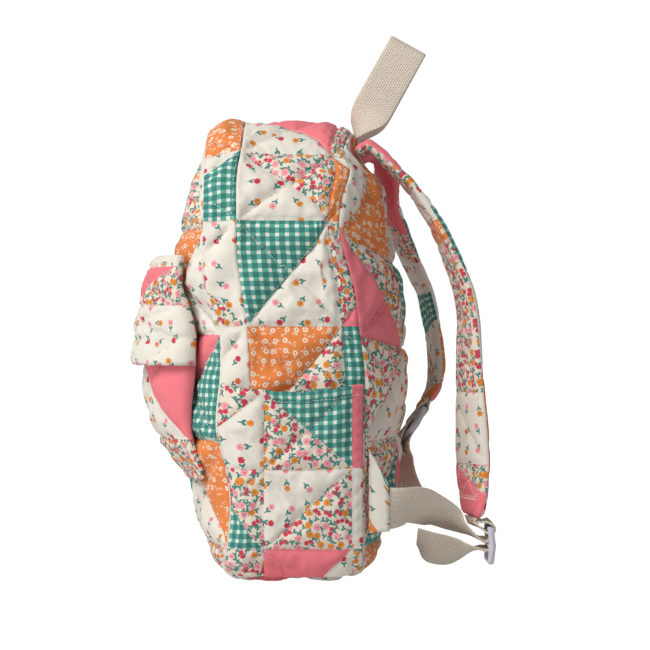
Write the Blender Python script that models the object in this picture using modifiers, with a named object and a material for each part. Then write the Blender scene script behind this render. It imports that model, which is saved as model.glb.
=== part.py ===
"""A quilted kids backpack, modelled as separate soft and hard pieces.

Width runs along X, depth along Y with the front pocket towards -Y, and the bag stands on z = 0.
The bag, its pockets and its flap follow one surface, bag_point, so each of them moves with it.
"""
import math
from collections import namedtuple

import bmesh
import bpy
from mathutils import Matrix, Vector
from mathutils.bvhtree import BVHTree

MM = 0.001

# Bag
BAG_WIDTH = 240 * MM
BAG_HEIGHT = 332 * MM
SHOULDER_RADIUS = 88 * MM
BOTTOM_RADIUS = 28 * MM
FRONT_SEAM = 50 * MM  # the front seam's distance before the middle, at the bottom
BACK_SEAM = 52 * MM  # the back seam's distance behind the middle, at the bottom
ZIP_LINE = 28.5 * MM  # the zip line's distance before the middle, at the bottom
FRONT_BULGE = 30 * MM
BACK_BULGE = 36 * MM
CROWN_FALL = 2.4  # the power by which a panel's bulge falls to its side seams
CROWN_EDGE = 0.8  # the power that rounds the bulge close to those seams
SEAM_PINCH = 8 * MM  # how far the side strip dips to its seams
PINCH_REACH = 22 * MM
FRONT_RIDGE = 4 * MM  # how far the front strip stands up over the top
RIDGE_START = 0.8  # the share of the height where it starts
QUILT = 4 * MM
PATCH = 75 * MM
CELLS_PER_PATCH = 5
LAST_CELL = 13.5 * MM  # depth of the strip's cell beside the back seam
FIRST_ROW = 31 * MM  # height of the lowest patch seam
QUILT_DEPTH = 3.4 * MM
CREASE = 9 * MM  # from a quilting line to the full height of the quilt
POCKET_QUILT = 2 * MM
GAP = 0.5 * MM
SMOOTH_ANGLE = 50.0
HALF = BAG_WIDTH / 2
CELL = PATCH / CELLS_PER_PATCH

# Zip tape
ZIP_GAP = 3.4 * MM
TAPE_HEIGHT = 1.6 * MM
TAPE_WIDTH = 1.8 * MM
TAPE_RECESS = 0.5 * MM

# Front pocket and flap
POCKET_WIDTH = 178 * MM
POCKET_BOTTOM = 70 * MM
POCKET_TOP = 188 * MM
POCKET_BULGE = 27 * MM
POCKET_SIDE = 0.3  # the share of the width over which the pouch rises from each side
POCKET_WALL = 3 * MM
FLAP_MARGIN = 6 * MM
FLAP_BOTTOM = 153 * MM
FLAP_TOP = 232 * MM
FLAP_WALL = 6 * MM
FLAP_LIFT = 3.5 * MM
FLAP_PUFF = 2.5 * MM

# Side pockets
SIDE_POCKET_BOTTOM = 7 * MM
SIDE_POCKET_TOP = 141 * MM
SIDE_POCKET_DIP = 6 * MM
SIDE_POCKET_WALL = 2.8 * MM
SIDE_POCKET_MOUTH = 8 * MM
SLACK_RISE = 1.5  # the power by which the slack grows to the mouth
SEAM_ROOM = 1.5 * MM

# Straps and webbing
STRAP_WIDTH = 44 * MM
STRAP_THICKNESS = 9 * MM
STRAP_SPACING = 94 * MM
STRAP_DROP = 23 * MM  # from the bag's top to the height where the straps start
STRAP_START = BAG_HEIGHT - STRAP_DROP
SEAT_GAP = 0.5 * MM
SEAT_TRIES = 6
STRAP_PINCH = 2.2 * MM
WEB_WIDTH = 30 * MM
WEB_THICKNESS = 1.7 * MM
TAIL_LENGTH = 52 * MM
TAB_LOW = 35 * MM
TAB_HIGH = 96 * MM
TAB_REACH = 15 * MM
TAB_THICKNESS = 4 * MM
TAB_WEB_DROP = 13 * MM  # the webbing's distance below the tab's middle
TAB_HEM = 1 * MM  # how far the tab's tip is wider than the webbing, each side
TAB_GAP = 0.9 * MM
HANDLE_RISE = 75 * MM
HANDLE_SPACING = 34 * MM
HANDLE_LEAN = 29.0
HANDLE_SINK = 3 * MM
HANDLE_BEND = 6 * MM

# Sliders
BAR = 3.2 * MM
SLIDER_HEIGHT = 27 * MM
SLIDER_SIDE = 3.4 * MM
SLIDER_CLEARANCE = 1.8 * MM
BAR_CLEARANCE = 0.4 * MM
BAR_CORNER = 0.72  # a rounded bar's reach from its middle, as a share of its thickness
LOOP_APART = 0.75  # from the loop's middle to each of its two plies, in thicknesses
LOOP_LEAD = 0.3  # the share of the loop's length that each of its ends runs straight
SLIDER_ASIDE = 11 * MM  # the right slider's middle from its strap's start, sideways
SLIDER_BEHIND = 91.5 * MM  # and behind the back seam
SLIDER_LEVEL = 22.5 * MM  # and above the ground
RIGHT_SLIDER = Vector((STRAP_SPACING / 2 + SLIDER_ASIDE, BACK_SEAM + SLIDER_BEHIND, SLIDER_LEVEL))
LEG = 7 * MM  # the webbing's straight run beside a bar
WEB_STEP = 5 * MM
LEFT_SLIDER_DROP = 24 * MM  # from the left strap's end, in line with it
END_ASIDE = 1 * MM  # the right strap's end from its slider's middle, sideways
END_BEFORE = 11.5 * MM  # and before it
END_RISE = 20 * MM  # and above it
RIGHT_STRAP_END = RIGHT_SLIDER + Vector((-END_ASIDE, -END_BEFORE, END_RISE))
LEFT_END_INSET = 28 * MM  # the left strap's end from the bag's side
LEFT_END_BEHIND = 51 * MM  # and behind the back seam
LEFT_END_LEVEL = 117 * MM  # and above the ground
LEFT_STRAP_END = Vector((LEFT_END_INSET - HALF, BACK_SEAM + LEFT_END_BEHIND, LEFT_END_LEVEL))

# The seams' shift towards the back over the height, as shares of SEAM_SHIFT.
SEAM_SHIFT = 12 * MM
MIDDLE_FOLLOWS = 0.3  # the share of the back seam's shift that the strip's middle takes
Seam = namedtuple("Seam", "height front zip back")
SEAMS = [
    Seam(0.00, 0.00, 0.00, 0.00),
    Seam(0.13, 0.55, 0.00, 0.00),
    Seam(0.22, 0.45, 0.00, 0.00),
    Seam(0.33, -0.25, 0.00, 0.00),
    Seam(0.45, 0.00, 0.00, 0.00),
    Seam(0.55, -0.10, -0.20, -0.35),
    Seam(0.63, -0.85, -0.55, -0.65),
    Seam(0.70, -1.00, -0.75, -1.20),
    Seam(0.76, -1.00, -0.80, -1.50),
    Seam(0.82, -1.00, -0.85, -1.30),
    Seam(0.88, -1.00, -0.80, -0.85),
    Seam(0.93, -1.00, -0.60, -1.20),
    Seam(1.00, -1.00, -0.50, -0.35),
]

# How far the front and back panels bulge over the height, as shares of their bulges.
Bulge = namedtuple("Bulge", "height front back")
BULGES = [
    Bulge(0.00, 0.00, 0.00),
    Bulge(0.05, 0.50, 0.36),
    Bulge(0.10, 0.88, 0.50),
    Bulge(0.15, 1.05, 0.64),
    Bulge(0.25, 1.08, 0.78),
    Bulge(0.40, 1.04, 0.90),
    Bulge(0.54, 1.00, 1.00),
    Bulge(0.67, 0.94, 1.08),
    Bulge(0.76, 0.76, 1.08),
    Bulge(0.84, 0.52, 0.86),
    Bulge(0.90, 0.26, 0.42),
    Bulge(0.95, 0.08, 0.12),
    Bulge(1.00, 0.00, 0.00),
]

# The pocket's and the flap's lift over the panel, as shares of the pocket's bulge.
Lift = namedtuple("Lift", "height share")
POCKET_LIFTS = [
    Lift(0.00, 0.00),
    Lift(0.05, 0.08),
    Lift(0.11, 0.28),
    Lift(0.21, 0.49),
    Lift(0.34, 0.65),
    Lift(0.43, 0.79),
    Lift(0.56, 0.95),
    Lift(0.70, 1.00),
    Lift(0.85, 0.98),
    Lift(1.00, 0.84),
]
FLAP_LIFTS = [
    Lift(0.00, 1.00),
    Lift(0.08, 1.06),
    Lift(0.22, 1.04),
    Lift(0.42, 0.90),
    Lift(0.55, 0.68),
    Lift(0.70, 0.44),
    Lift(0.90, 0.26),
    Lift(0.97, 0.14),
    Lift(1.00, 0.04),
]

# The right strap from the bag to its end: shares of the drop and of the reach towards the back, a
# share of the move in X, and the turn of its width about its length.
Strap = namedtuple("Strap", "drop reach move turn")
RIGHT_STRAP = [
    Strap(0.00, 0.00, 0.0, 0),
    Strap(-0.02, 0.09, 0.1, 0),
    Strap(0.06, 0.36, 0.3, 0),
    Strap(0.15, 0.59, 0.5, 3),
    Strap(0.28, 0.80, 0.7, 8),
    Strap(0.41, 0.94, 0.9, 12),
    Strap(0.63, 0.975, 1.0, 20),
    Strap(0.85, 1.00, 1.0, 28),
    Strap(1.00, 1.00, 1.0, 14),
]
# The left strap is pulled tighter at its slider, so it bows out to the side.
LEFT_STRAP = [
    Strap(0.00, 0.00, 0.00, 0),
    Strap(-0.03, 0.24, 0.05, 4),
    Strap(0.02, 0.42, 0.38, 14),
    Strap(0.14, 0.48, 0.96, 18),
    Strap(0.27, 0.64, 1.49, 16),
    Strap(0.40, 0.86, 1.82, 12),
    Strap(0.53, 1.06, 1.93, 10),
    Strap(0.68, 1.17, 1.82, 10),
    Strap(0.83, 1.21, 1.51, 8),
    Strap(0.93, 1.15, 1.22, 5),
    Strap(1.00, 1.00, 1.00, 0),
]

# The lower webbing from its tab to the slider: shares of the way in X, Y and Z, and its turn from
# upright to level.
Web = namedtuple("Web", "x y z turn")
RIGHT_RUN = [
    Web(0.00, 0.00, 0.00, 0),
    Web(0.12, 0.15, 0.00, 18),
    Web(0.32, 0.31, -0.04, 38),
    Web(0.54, 0.44, 0.11, 52),
    Web(0.74, 0.59, 0.34, 66),
    Web(0.90, 0.72, 0.60, 77),
]
LEFT_RUN = [
    Web(0.00, 0.00, 0.00, 0),
    Web(0.04, 0.45, 0.00, 20),
    Web(0.22, 0.80, 0.10, 45),
    Web(0.50, 0.95, 0.34, 70),
    Web(0.80, 1.00, 0.70, 85),
]
# The tail from the slider to its free end, as shares of its length.
RIGHT_TAIL = [
    Web(0.04, -0.20, -0.04, 82),
    Web(0.10, -0.42, -0.02, 62),
    Web(0.20, -0.68, 0.10, 48),
    Web(0.30, -0.90, 0.26, 44),
]
LEFT_TAIL = [
    Web(0.00, 0.02, -0.22, 90),
    Web(0.00, 0.08, -0.50, 90),
    Web(0.00, 0.18, -0.74, 90),
    Web(0.00, 0.30, -0.94, 90),
]
# The top handle's right leg: shares of the rise and of half the spacing, and the turn of its width.
Leg = namedtuple("Leg", "rise spread turn")
HANDLE_LEG = [
    Leg(0.00, 1.00, 0),
    Leg(0.10, 1.00, 22),
    Leg(0.22, 0.95, 58),
    Leg(0.36, 0.86, 84),
    Leg(0.55, 0.72, 90),
    Leg(0.75, 0.56, 90),
    Leg(0.90, 0.42, 90),
]

STRAP_SIDES = {"right": 1, "left": -1}


def read(table, column, at, key="height"):
    """A column of a table at a share, on a smooth curve through its rows."""
    xs = [getattr(row, key) for row in table]
    ys = [getattr(row, column) for row in table]
    at = min(max(at, xs[0]), xs[-1])
    i = 0
    while i < len(xs) - 2 and at > xs[i + 1]:
        i += 1
    slopes = []
    for j in (i, i + 1):
        low = max(j - 1, 0)
        high = min(j + 1, len(xs) - 1)
        slopes.append((ys[high] - ys[low]) / (xs[high] - xs[low]))
    span = xs[i + 1] - xs[i]
    t = (at - xs[i]) / span
    first = (2 * t**3 - 3 * t**2 + 1) * ys[i] + (t**3 - 2 * t**2 + t) * span * slopes[0]
    last = (3 * t**2 - 2 * t**3) * ys[i + 1] + (t**3 - t**2) * span * slopes[1]
    return first + last


def seam(name, z):
    """World y of a seam line at a height."""
    start = {"front": -FRONT_SEAM, "zip": -ZIP_LINE, "back": BACK_SEAM}[name]
    return start + SEAM_SHIFT * read(SEAMS, name, z / BAG_HEIGHT)


def outline(x, z, inset):
    """A flat point of the bag's face, with its shoulders and lower corners rounded, inset all round."""
    x = x * (HALF - inset) / HALF
    z = inset + z * (BAG_HEIGHT - 2 * inset) / BAG_HEIGHT
    high = z > BAG_HEIGHT / 2
    radius = (SHOULDER_RADIUS if high else BOTTOM_RADIUS) - inset
    centre_x = HALF - inset - radius
    centre_z = BAG_HEIGHT - inset - radius if high else inset + radius
    a = (abs(x) - centre_x) / radius
    b = (z - centre_z) / radius if high else (centre_z - z) / radius
    if a > 0 and b > 0:
        round_a = a * math.sqrt(1 - b * b / 2)
        round_b = b * math.sqrt(1 - a * a / 2)
        x = math.copysign(centre_x + radius * round_a, x)
        z = centre_z + radius * round_b * (1 if high else -1)
    return x, z


def puff(a, b):
    """Quilting: 0 on both diagonals of each patch and 1 between them."""
    nearest = PATCH
    for along in (a + b, a - b):
        off = (along + PATCH / 2) % PATCH - PATCH / 2
        nearest = min(nearest, abs(off) / math.sqrt(2))
    t = min(nearest / CREASE, 1)
    return t * t * (3 - 2 * t)


def pocket_shade(x, z):
    """1 where the front pocket and flap cover the panel, which is smooth there."""
    half = POCKET_WIDTH / 2 + FLAP_MARGIN + CELL / 2
    inside = abs(x) < half and POCKET_BOTTOM - CELL / 2 < z < FLAP_TOP + CELL / 2
    return 1 if inside else 0


def pinch(y, z):
    """How far the side strip lies inside the full outline, at a lattice depth."""
    edge = min(y + FRONT_SEAM, BACK_SEAM - y) / PINCH_REACH
    dip = SEAM_PINCH * max(1 - edge, 0) ** 2
    strip = (y + FRONT_SEAM) / (FRONT_SEAM - ZIP_LINE)
    ridge = math.sin(math.pi * strip) if 0 < strip < 1 else 0
    high = max(z / BAG_HEIGHT - RIDGE_START, 0) / (1 - RIDGE_START)
    return dip - FRONT_RIDGE * ridge * high


def depth(y, z):
    """World y of a lattice depth: the strips follow their seams, the middle stays."""
    middle = BACK_SEAM - 2 * CELL
    moved = middle + SEAM_SHIFT * MIDDLE_FOLLOWS * read(SEAMS, "back", z / BAG_HEIGHT)
    if y <= -ZIP_LINE:
        t = (y + FRONT_SEAM) / (FRONT_SEAM - ZIP_LINE)
        return seam("front", z) * (1 - t) + seam("zip", z) * t
    if y <= middle:
        t = (y + ZIP_LINE) / (middle + ZIP_LINE)
        return seam("zip", z) * (1 - t) + moved * t
    t = (y - middle) / (BACK_SEAM - middle)
    return moved * (1 - t) + seam("back", z) * t


def width_share(x):
    """How the bulge of a panel falls to its side seams."""
    return max(1 - (abs(x) / HALF) ** CROWN_FALL, 0) ** CROWN_EDGE


def front_y(x, z):
    """World y of the front panel without its quilting."""
    bulge = FRONT_BULGE * read(BULGES, "front", z / BAG_HEIGHT) * width_share(x)
    return seam("front", z) - bulge


def back_y(x, z):
    """World y of the back panel without its quilting."""
    bulge = BACK_BULGE * read(BULGES, "back", z / BAG_HEIGHT) * width_share(x)
    return seam("back", z) + bulge


def on_strip(x, z):
    """Whether a lattice point lies on the strip that runs round the bag."""
    near = 0.01 * MM
    return abs(x) > HALF - near or z < near or z > BAG_HEIGHT - near


def strip_point(x, y, z, out=0.0):
    """World point of the strip round the bag at a lattice point, lifted outwards."""
    u, w = outline(x, z, pinch(y, z) - out)
    return Vector((u, depth(y, w), w))


def bag_point(x, y, z):
    """World point of the bag's outer face at a point of its lattice box."""
    near = 0.01 * MM
    front = y < -FRONT_SEAM + near
    back = y > BACK_SEAM - near
    if on_strip(x, z) and not front and not back:
        covered = abs(x) > HALF - near and z < SIDE_POCKET_TOP
        bottom = z < near
        along = x if z > BAG_HEIGHT - near else z - FIRST_ROW
        relief = 0 if covered or bottom else puff(along, y + ZIP_LINE) - 1
        zip_line = abs(y + ZIP_LINE) < ZIP_GAP
        out = QUILT_DEPTH * relief if not zip_line else -QUILT_DEPTH / 2
        return strip_point(x, y, z, out)
    u, w = outline(x, z, SEAM_PINCH)
    relief = 0
    if not on_strip(x, z) and not (front and pocket_shade(x, z)):
        relief = QUILT_DEPTH * (puff(x - PATCH / 2, z - FIRST_ROW) - 1)
    if front:
        return Vector((u, front_y(x, w) - relief, w))
    return Vector((u, back_y(x, w) + relief, w))


def lines(low, high, start):
    """Lattice lines at whole cells from a start, clear of both ends."""
    clear = 0.5 * CELL
    first = math.ceil((low + clear - start) / CELL)
    last = math.floor((high - clear - start) / CELL)
    return [start + k * CELL for k in range(first, last + 1)]


def strip_lines():
    """Lattice depths of the cells' edges on the strip round the bag, between its two seams."""
    front = [-(FRONT_SEAM + ZIP_LINE) / 2]
    return front + [-ZIP_LINE] + lines(-ZIP_LINE, BACK_SEAM, BACK_SEAM - LAST_CELL)


def material(name, colour, roughness, metallic=0.0):
    made = bpy.data.materials.new(name)
    made.use_nodes = True
    shader = made.node_tree.nodes["Principled BSDF"]
    shader.inputs["Base Color"].default_value = (*colour, 1)
    shader.inputs["Roughness"].default_value = roughness
    shader.inputs["Metallic"].default_value = metallic
    return made


def add(name, bm, finish, smooth=True):
    """Turns a bmesh into a named object of the backpack."""
    mesh = bpy.data.meshes.new(name)
    bm.to_mesh(mesh)
    bm.free()
    made = bpy.data.objects.new(name, mesh)
    made.data.materials.append(finish)
    made.parent = rig
    collection.objects.link(made)
    if smooth:
        mesh.shade_smooth()
        mesh.set_sharp_from_angle(angle=math.radians(SMOOTH_ANGLE))
    return made


def thicken(made, wall, side):
    """Gives an open surface its wall: side -1 inwards, 1 outwards."""
    solidify = made.modifiers.new("wall", "SOLIDIFY")
    solidify.thickness = wall
    solidify.offset = side
    solidify.use_even_offset = True


def shell(name, low_y, high_y, open_side, finish):
    """A bowl of the bag between two lattice depths, cut into cells, open on one side."""
    bm = bmesh.new()
    bmesh.ops.create_cube(bm, size=1)
    bmesh.ops.scale(bm, vec=(BAG_WIDTH, high_y - low_y, BAG_HEIGHT), verts=bm.verts)
    centre = Vector((0, (low_y + high_y) / 2, BAG_HEIGHT / 2))
    bmesh.ops.translate(bm, vec=centre, verts=bm.verts)
    lid = [f for f in bm.faces if f.normal.y * open_side > 0.5]
    bmesh.ops.delete(bm, geom=lid, context="FACES")
    cuts = [(Vector((x, 0, 0)), Vector((1, 0, 0))) for x in lines(-HALF, HALF, PATCH / 2)]
    cuts += [(Vector((0, 0, z)), Vector((0, 0, 1))) for z in lines(0, BAG_HEIGHT, FIRST_ROW)]
    depths = [y for y in strip_lines() if low_y < y < high_y]
    near = ZIP_GAP
    depths = [y for y in depths if min(abs(y - low_y), abs(y - high_y)) > near]
    cuts += [(Vector((0, y, 0)), Vector((0, 1, 0))) for y in depths]
    for place, normal in cuts:
        everything = bm.verts[:] + bm.edges[:] + bm.faces[:]
        bmesh.ops.bisect_plane(bm, geom=everything, plane_co=place, plane_no=normal, dist=0.01 * MM)
    for v in bm.verts:
        v.co = bag_point(*v.co)
    made = add(name, bm, finish)
    thicken(made, QUILT, -1)
    return made


def sheet(name, across, up, place, wall, side, finish):
    """A sheet of quads over two lists of lattice lines, placed by a function and thickened."""
    bm = bmesh.new()
    bmesh.ops.create_grid(bm, x_segments=len(across) - 1, y_segments=len(up) - 1, size=0.5)
    for v in bm.verts:
        i = round((v.co.x + 0.5) * (len(across) - 1))
        j = round((v.co.y + 0.5) * (len(up) - 1))
        v.co = place(across[i], up[j])
    made = add(name, bm, finish)
    thicken(made, wall, side)
    return made


def edge_rise(gap, reach):
    """From 0 at a sewn edge to 1 inside it, steep at the edge."""
    t = min(max(gap / reach, 0), 1)
    return math.sqrt(1 - (1 - t) ** 2)


def pocket_lift(x, z):
    """Distance of the pouch's inner face from the front panel."""
    share = (z - POCKET_BOTTOM) / (POCKET_TOP - POCKET_BOTTOM)
    sides = edge_rise(POCKET_WIDTH / 2 - abs(x), POCKET_WIDTH * POCKET_SIDE)
    return POCKET_BULGE * read(POCKET_LIFTS, "share", share) * sides


def make_front_pocket(finish):
    half = POCKET_WIDTH / 2
    across = [-half] + lines(-half, half, PATCH / 2) + [half]
    up = [POCKET_BOTTOM] + lines(POCKET_BOTTOM, POCKET_TOP, FIRST_ROW) + [POCKET_TOP]

    def place(x, z):
        out = pocket_lift(x, z)
        if half - abs(x) > CELL / 3 and z > POCKET_BOTTOM:
            out -= POCKET_QUILT * (1 - puff(x - PATCH / 2, z - FIRST_ROW)) * min(out / POCKET_BULGE, 1)
        return Vector((x, front_y(x, z) - GAP - out, z))

    return sheet("front_pocket", across, up, place, POCKET_WALL, 1, finish)


def flap_lift(x, z):
    """Distance of the flap's inner face from the front panel, clear of the pouch."""
    share = (z - FLAP_BOTTOM) / (FLAP_TOP - FLAP_BOTTOM)
    half = POCKET_WIDTH / 2 + FLAP_MARGIN
    sides = edge_rise(half - abs(x), POCKET_WIDTH * POCKET_SIDE)
    quilting = FLAP_PUFF * puff(x - PATCH / 2, z - FIRST_ROW) * math.sin(math.pi * share)
    return (POCKET_BULGE * read(FLAP_LIFTS, "share", share) + FLAP_LIFT + quilting) * sides


def make_pocket_flap(finish):
    half = POCKET_WIDTH / 2 + FLAP_MARGIN
    across = [-half] + lines(-half, half, PATCH / 2) + [half]
    up = [FLAP_BOTTOM] + lines(FLAP_BOTTOM, FLAP_TOP - CELL / 3, FIRST_ROW)
    up += [FLAP_TOP - CELL / 3, FLAP_TOP]

    def place(x, z):
        return Vector((x, front_y(x, z) - GAP - flap_lift(x, z), z))

    return sheet("pocket_flap", across, up, place, FLAP_WALL, 1, finish)


def side_pocket_edge(y):
    """Height of a side pocket's free top edge, which dips in its middle."""
    share = (y + FRONT_SEAM) / (FRONT_SEAM + BACK_SEAM)
    return SIDE_POCKET_TOP - SIDE_POCKET_DIP * math.sin(math.pi * share)


def make_side_pocket(name, side, finish):
    across = [-FRONT_SEAM + SEAM_ROOM] + strip_lines() + [BACK_SEAM - SEAM_ROOM]
    up = [SIDE_POCKET_BOTTOM] + lines(0, SIDE_POCKET_TOP, FIRST_ROW) + [SIDE_POCKET_TOP]
    fixed = SIDE_POCKET_TOP - PATCH

    def place(y, z):
        share = (z - SIDE_POCKET_BOTTOM) / (SIDE_POCKET_TOP - SIDE_POCKET_BOTTOM)
        if z > fixed:
            z = fixed + (z - fixed) * (side_pocket_edge(y) - fixed) / (SIDE_POCKET_TOP - fixed)
        t = (y + FRONT_SEAM) / (FRONT_SEAM + BACK_SEAM)
        inside = math.sin(math.pi * t) ** CROWN_EDGE
        slack = SIDE_POCKET_MOUTH * inside * share**SLACK_RISE
        quilting = POCKET_QUILT * inside * puff(z - FIRST_ROW, y + ZIP_LINE)
        return strip_point(side * HALF, y, z, GAP + slack + quilting)

    return sheet(name, across, up, place, SIDE_POCKET_WALL, side, finish)


def loft(name, rings, finish, closed_path=False):
    """One closed solid through rings of the same number of points."""
    bm = bmesh.new()
    made = [[bm.verts.new(p) for p in ring] for ring in rings]
    count = len(made[0])
    steps = len(made) if closed_path else len(made) - 1
    for i in range(steps):
        here = made[i]
        following = made[(i + 1) % len(made)]
        for k in range(count):
            n = (k + 1) % count
            bm.faces.new((here[k], here[n], following[n], following[k]))
    if not closed_path:
        bm.faces.new(made[0][::-1])
        bm.faces.new(made[-1])
    bmesh.ops.recalc_face_normals(bm, faces=bm.faces)
    return add(name, bm, finish)


def make_zip_tape(finish):
    """The tape between the two shells, a closed band just inside their faces."""
    ring = [(x, 0.0) for x in lines(-HALF, HALF, PATCH / 2)]
    ring += [(HALF, z) for z in lines(0, BAG_HEIGHT, FIRST_ROW)]
    ring += [(x, BAG_HEIGHT) for x in reversed(lines(-HALF, HALF, PATCH / 2))]
    ring += [(-HALF, z) for z in reversed(lines(0, BAG_HEIGHT, FIRST_ROW))]
    half = TAPE_WIDTH / 2
    sections = []
    for x, z in ring:
        corners = []
        for y, recess in ((-half, 0), (half, 0), (half, TAPE_HEIGHT), (-half, TAPE_HEIGHT)):
            corners.append(strip_point(x, -ZIP_LINE + y, z, -QUILT_DEPTH / 2 - TAPE_RECESS - recess))
        sections.append(corners)
    return loft("zip_tape", sections, finish, closed_path=True)


def curve_points(points, step):
    """Points at even steps along a smooth curve through the given ones. Each point is a tuple of
    numbers, and the first three are its place."""
    fine = []
    for i in range(len(points) - 1):
        before = points[max(i - 1, 0)]
        after = points[min(i + 2, len(points) - 1)]
        parts = 12
        for k in range(parts + (i == len(points) - 2)):
            t = k / parts
            value = []
            for a, b, c, d in zip(before, points[i], points[i + 1], after):
                lean = (c - a) / 2
                next_lean = (d - b) / 2
                first = (2 * t**3 - 3 * t**2 + 1) * b + (t**3 - 2 * t**2 + t) * lean
                last = (3 * t**2 - 2 * t**3) * c + (t**3 - t**2) * next_lean
                value.append(first + last)
            fine.append(value)
    lengths = [0.0]
    for a, b in zip(fine, fine[1:]):
        lengths.append(lengths[-1] + (Vector(b[:3]) - Vector(a[:3])).length)
    count = max(round(lengths[-1] / step), 2)
    even = []
    i = 0
    for k in range(count + 1):
        target = lengths[-1] * k / count
        while i < len(lengths) - 2 and lengths[i + 1] < target:
            i += 1
        span = lengths[i + 1] - lengths[i]
        t = (target - lengths[i]) / span if span > 0 else 0
        even.append([a + (b - a) * t for a, b in zip(fine[i], fine[i + 1])])
    return even


def tangents(points):
    places = [Vector(p[:3]) for p in points]
    result = []
    for i in range(len(places)):
        before = places[max(i - 1, 0)]
        after = places[min(i + 1, len(places) - 1)]
        result.append((after - before).normalized())
    return result


def cushion_ring(centre, across, out, width, thick):
    """A padded strap's section: flat faces with round edges."""
    half = width / 2
    flat = half - thick / 2
    shape = [(-flat, -1), (0, -1), (flat, -1), (half, -0.35), (half, 0.35)]
    shape += [(flat, 1), (0, 1), (-flat, 1), (-half, 0.35), (-half, -0.35)]
    return [centre + across * a + out * (b * thick / 2) for a, b in shape]


def flat_ring(centre, across, out, width, thick):
    """A webbing's section."""
    corners = ((-1, -1), (1, -1), (1, 1), (-1, 1))
    return [centre + across * (a * width / 2) + out * (b * thick / 2) for a, b in corners]


def seat(rings):
    """How far rings of points move in Y to rest just behind the back panel's real faces."""
    samples = []
    for ring, following in zip(rings, rings[1:] + rings[-1:]):
        for p, q, r in zip(ring, ring[1:] + ring[:1], following):
            samples += [p, p.lerp(q, 1 / 3), p.lerp(q, 2 / 3), p.lerp(r, 1 / 3), p.lerp(r, 2 / 3)]
    shifts = []
    for p in samples:
        hit = back_faces.ray_cast(Vector((p.x, BAG_HEIGHT, p.z)), Vector((0, -1, 0)))[0]
        if hit is not None and hit.y > 0:
            shifts.append(hit.y + SEAT_GAP - p.y)
    return Vector((0, max(shifts), 0))


def make_strap(name, side, table, end, finish):
    """A padded strap from the bag's back to its slider, pinched by its quilting."""
    start = Vector((side * STRAP_SPACING / 2, seam("back", STRAP_START), STRAP_START))
    for attempt in range(SEAT_TRIES):
        points = []
        for row in table:
            x = start.x + (end.x - start.x) * row.move
            y = start.y + (end.y - start.y) * row.reach
            z = start.z + (end.z - start.z) * row.drop
            points.append((x, y, z, row.turn))
        stations = curve_points(points, PATCH / 6)
        rings = []
        for i, (here, along) in enumerate(zip(stations, tangents(stations))):
            across = (Vector((1, 0, 0)) - along * along.x).normalized()
            across = Matrix.Rotation(math.radians(here[3]), 3, along * -1) @ across
            out = along.cross(across)
            pinched = i % 3 == 0 or i == len(stations) - 1
            thick = STRAP_THICKNESS - (STRAP_PINCH if pinched else 0)
            width = STRAP_WIDTH - (STRAP_PINCH if i % 3 == 0 else 0)
            rings.append(cushion_ring(Vector(here[:3]), across, out, width, thick))
        start += seat(rings[:3])
    loft(name, rings, finish)
    last = rings[-1]
    middle = Vector(stations[-1][:3])
    way = (middle - Vector(stations[-2][:3])).normalized()
    across = (last[2] - last[0]).normalized()
    return middle, way, across


def slider_frame(centre, up, level):
    """A slider's place: its bars along a level direction and its top pointing up the strap."""
    y_axis = up.cross(level).normalized()
    x_axis = y_axis.cross(up)
    frame = Matrix((x_axis, y_axis, up)).transposed().to_4x4()
    return Matrix.Translation(centre) @ frame


def make_slider(name, frame, finish):
    """A ladder slider: a plate with two slots between three bars, with rounded edges."""
    inner = WEB_WIDTH / 2 + SLIDER_CLEARANCE
    xs = [-inner - SLIDER_SIDE, -inner, inner, inner + SLIDER_SIDE]
    half = SLIDER_HEIGHT / 2
    zs = [-half, -half + BAR, -BAR / 2, BAR / 2, half - BAR, half]
    bm = bmesh.new()
    bmesh.ops.create_grid(bm, x_segments=len(xs) - 1, y_segments=len(zs) - 1, size=0.5)
    for v in bm.verts:
        i = round((v.co.x + 0.5) * (len(xs) - 1))
        j = round((v.co.y + 0.5) * (len(zs) - 1))
        v.co = Vector((xs[i], 0, zs[j]))
    slots = []
    for f in bm.faces:
        middle = f.calc_center_median()
        in_slot = BAR / 2 < abs(middle.z) < half - BAR
        if abs(middle.x) < inner and in_slot:
            slots.append(f)
    bmesh.ops.delete(bm, geom=slots, context="FACES")
    bmesh.ops.transform(bm, matrix=frame, verts=bm.verts)
    made = add(name, bm, finish)
    thicken(made, BAR, 0)
    bevel = made.modifiers.new("round", "BEVEL")
    bevel.width = BAR * 0.3
    bevel.segments = 1
    return made


def turn_round_bar(frame, bar_z, legs, steps=6):
    """Half a turn of webbing round a bar, whose two legs leave at an angle from the slider's Y."""
    radius = BAR * BAR_CORNER + BAR_CLEARANCE + WEB_THICKNESS / 2
    points = []
    for k in range(steps + 1):
        angle = legs + math.pi * 1.5 - math.pi * k / steps
        local = Vector((0, radius * math.cos(angle), bar_z + radius * math.sin(angle)))
        points.append(frame @ local)
    return points


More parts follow.
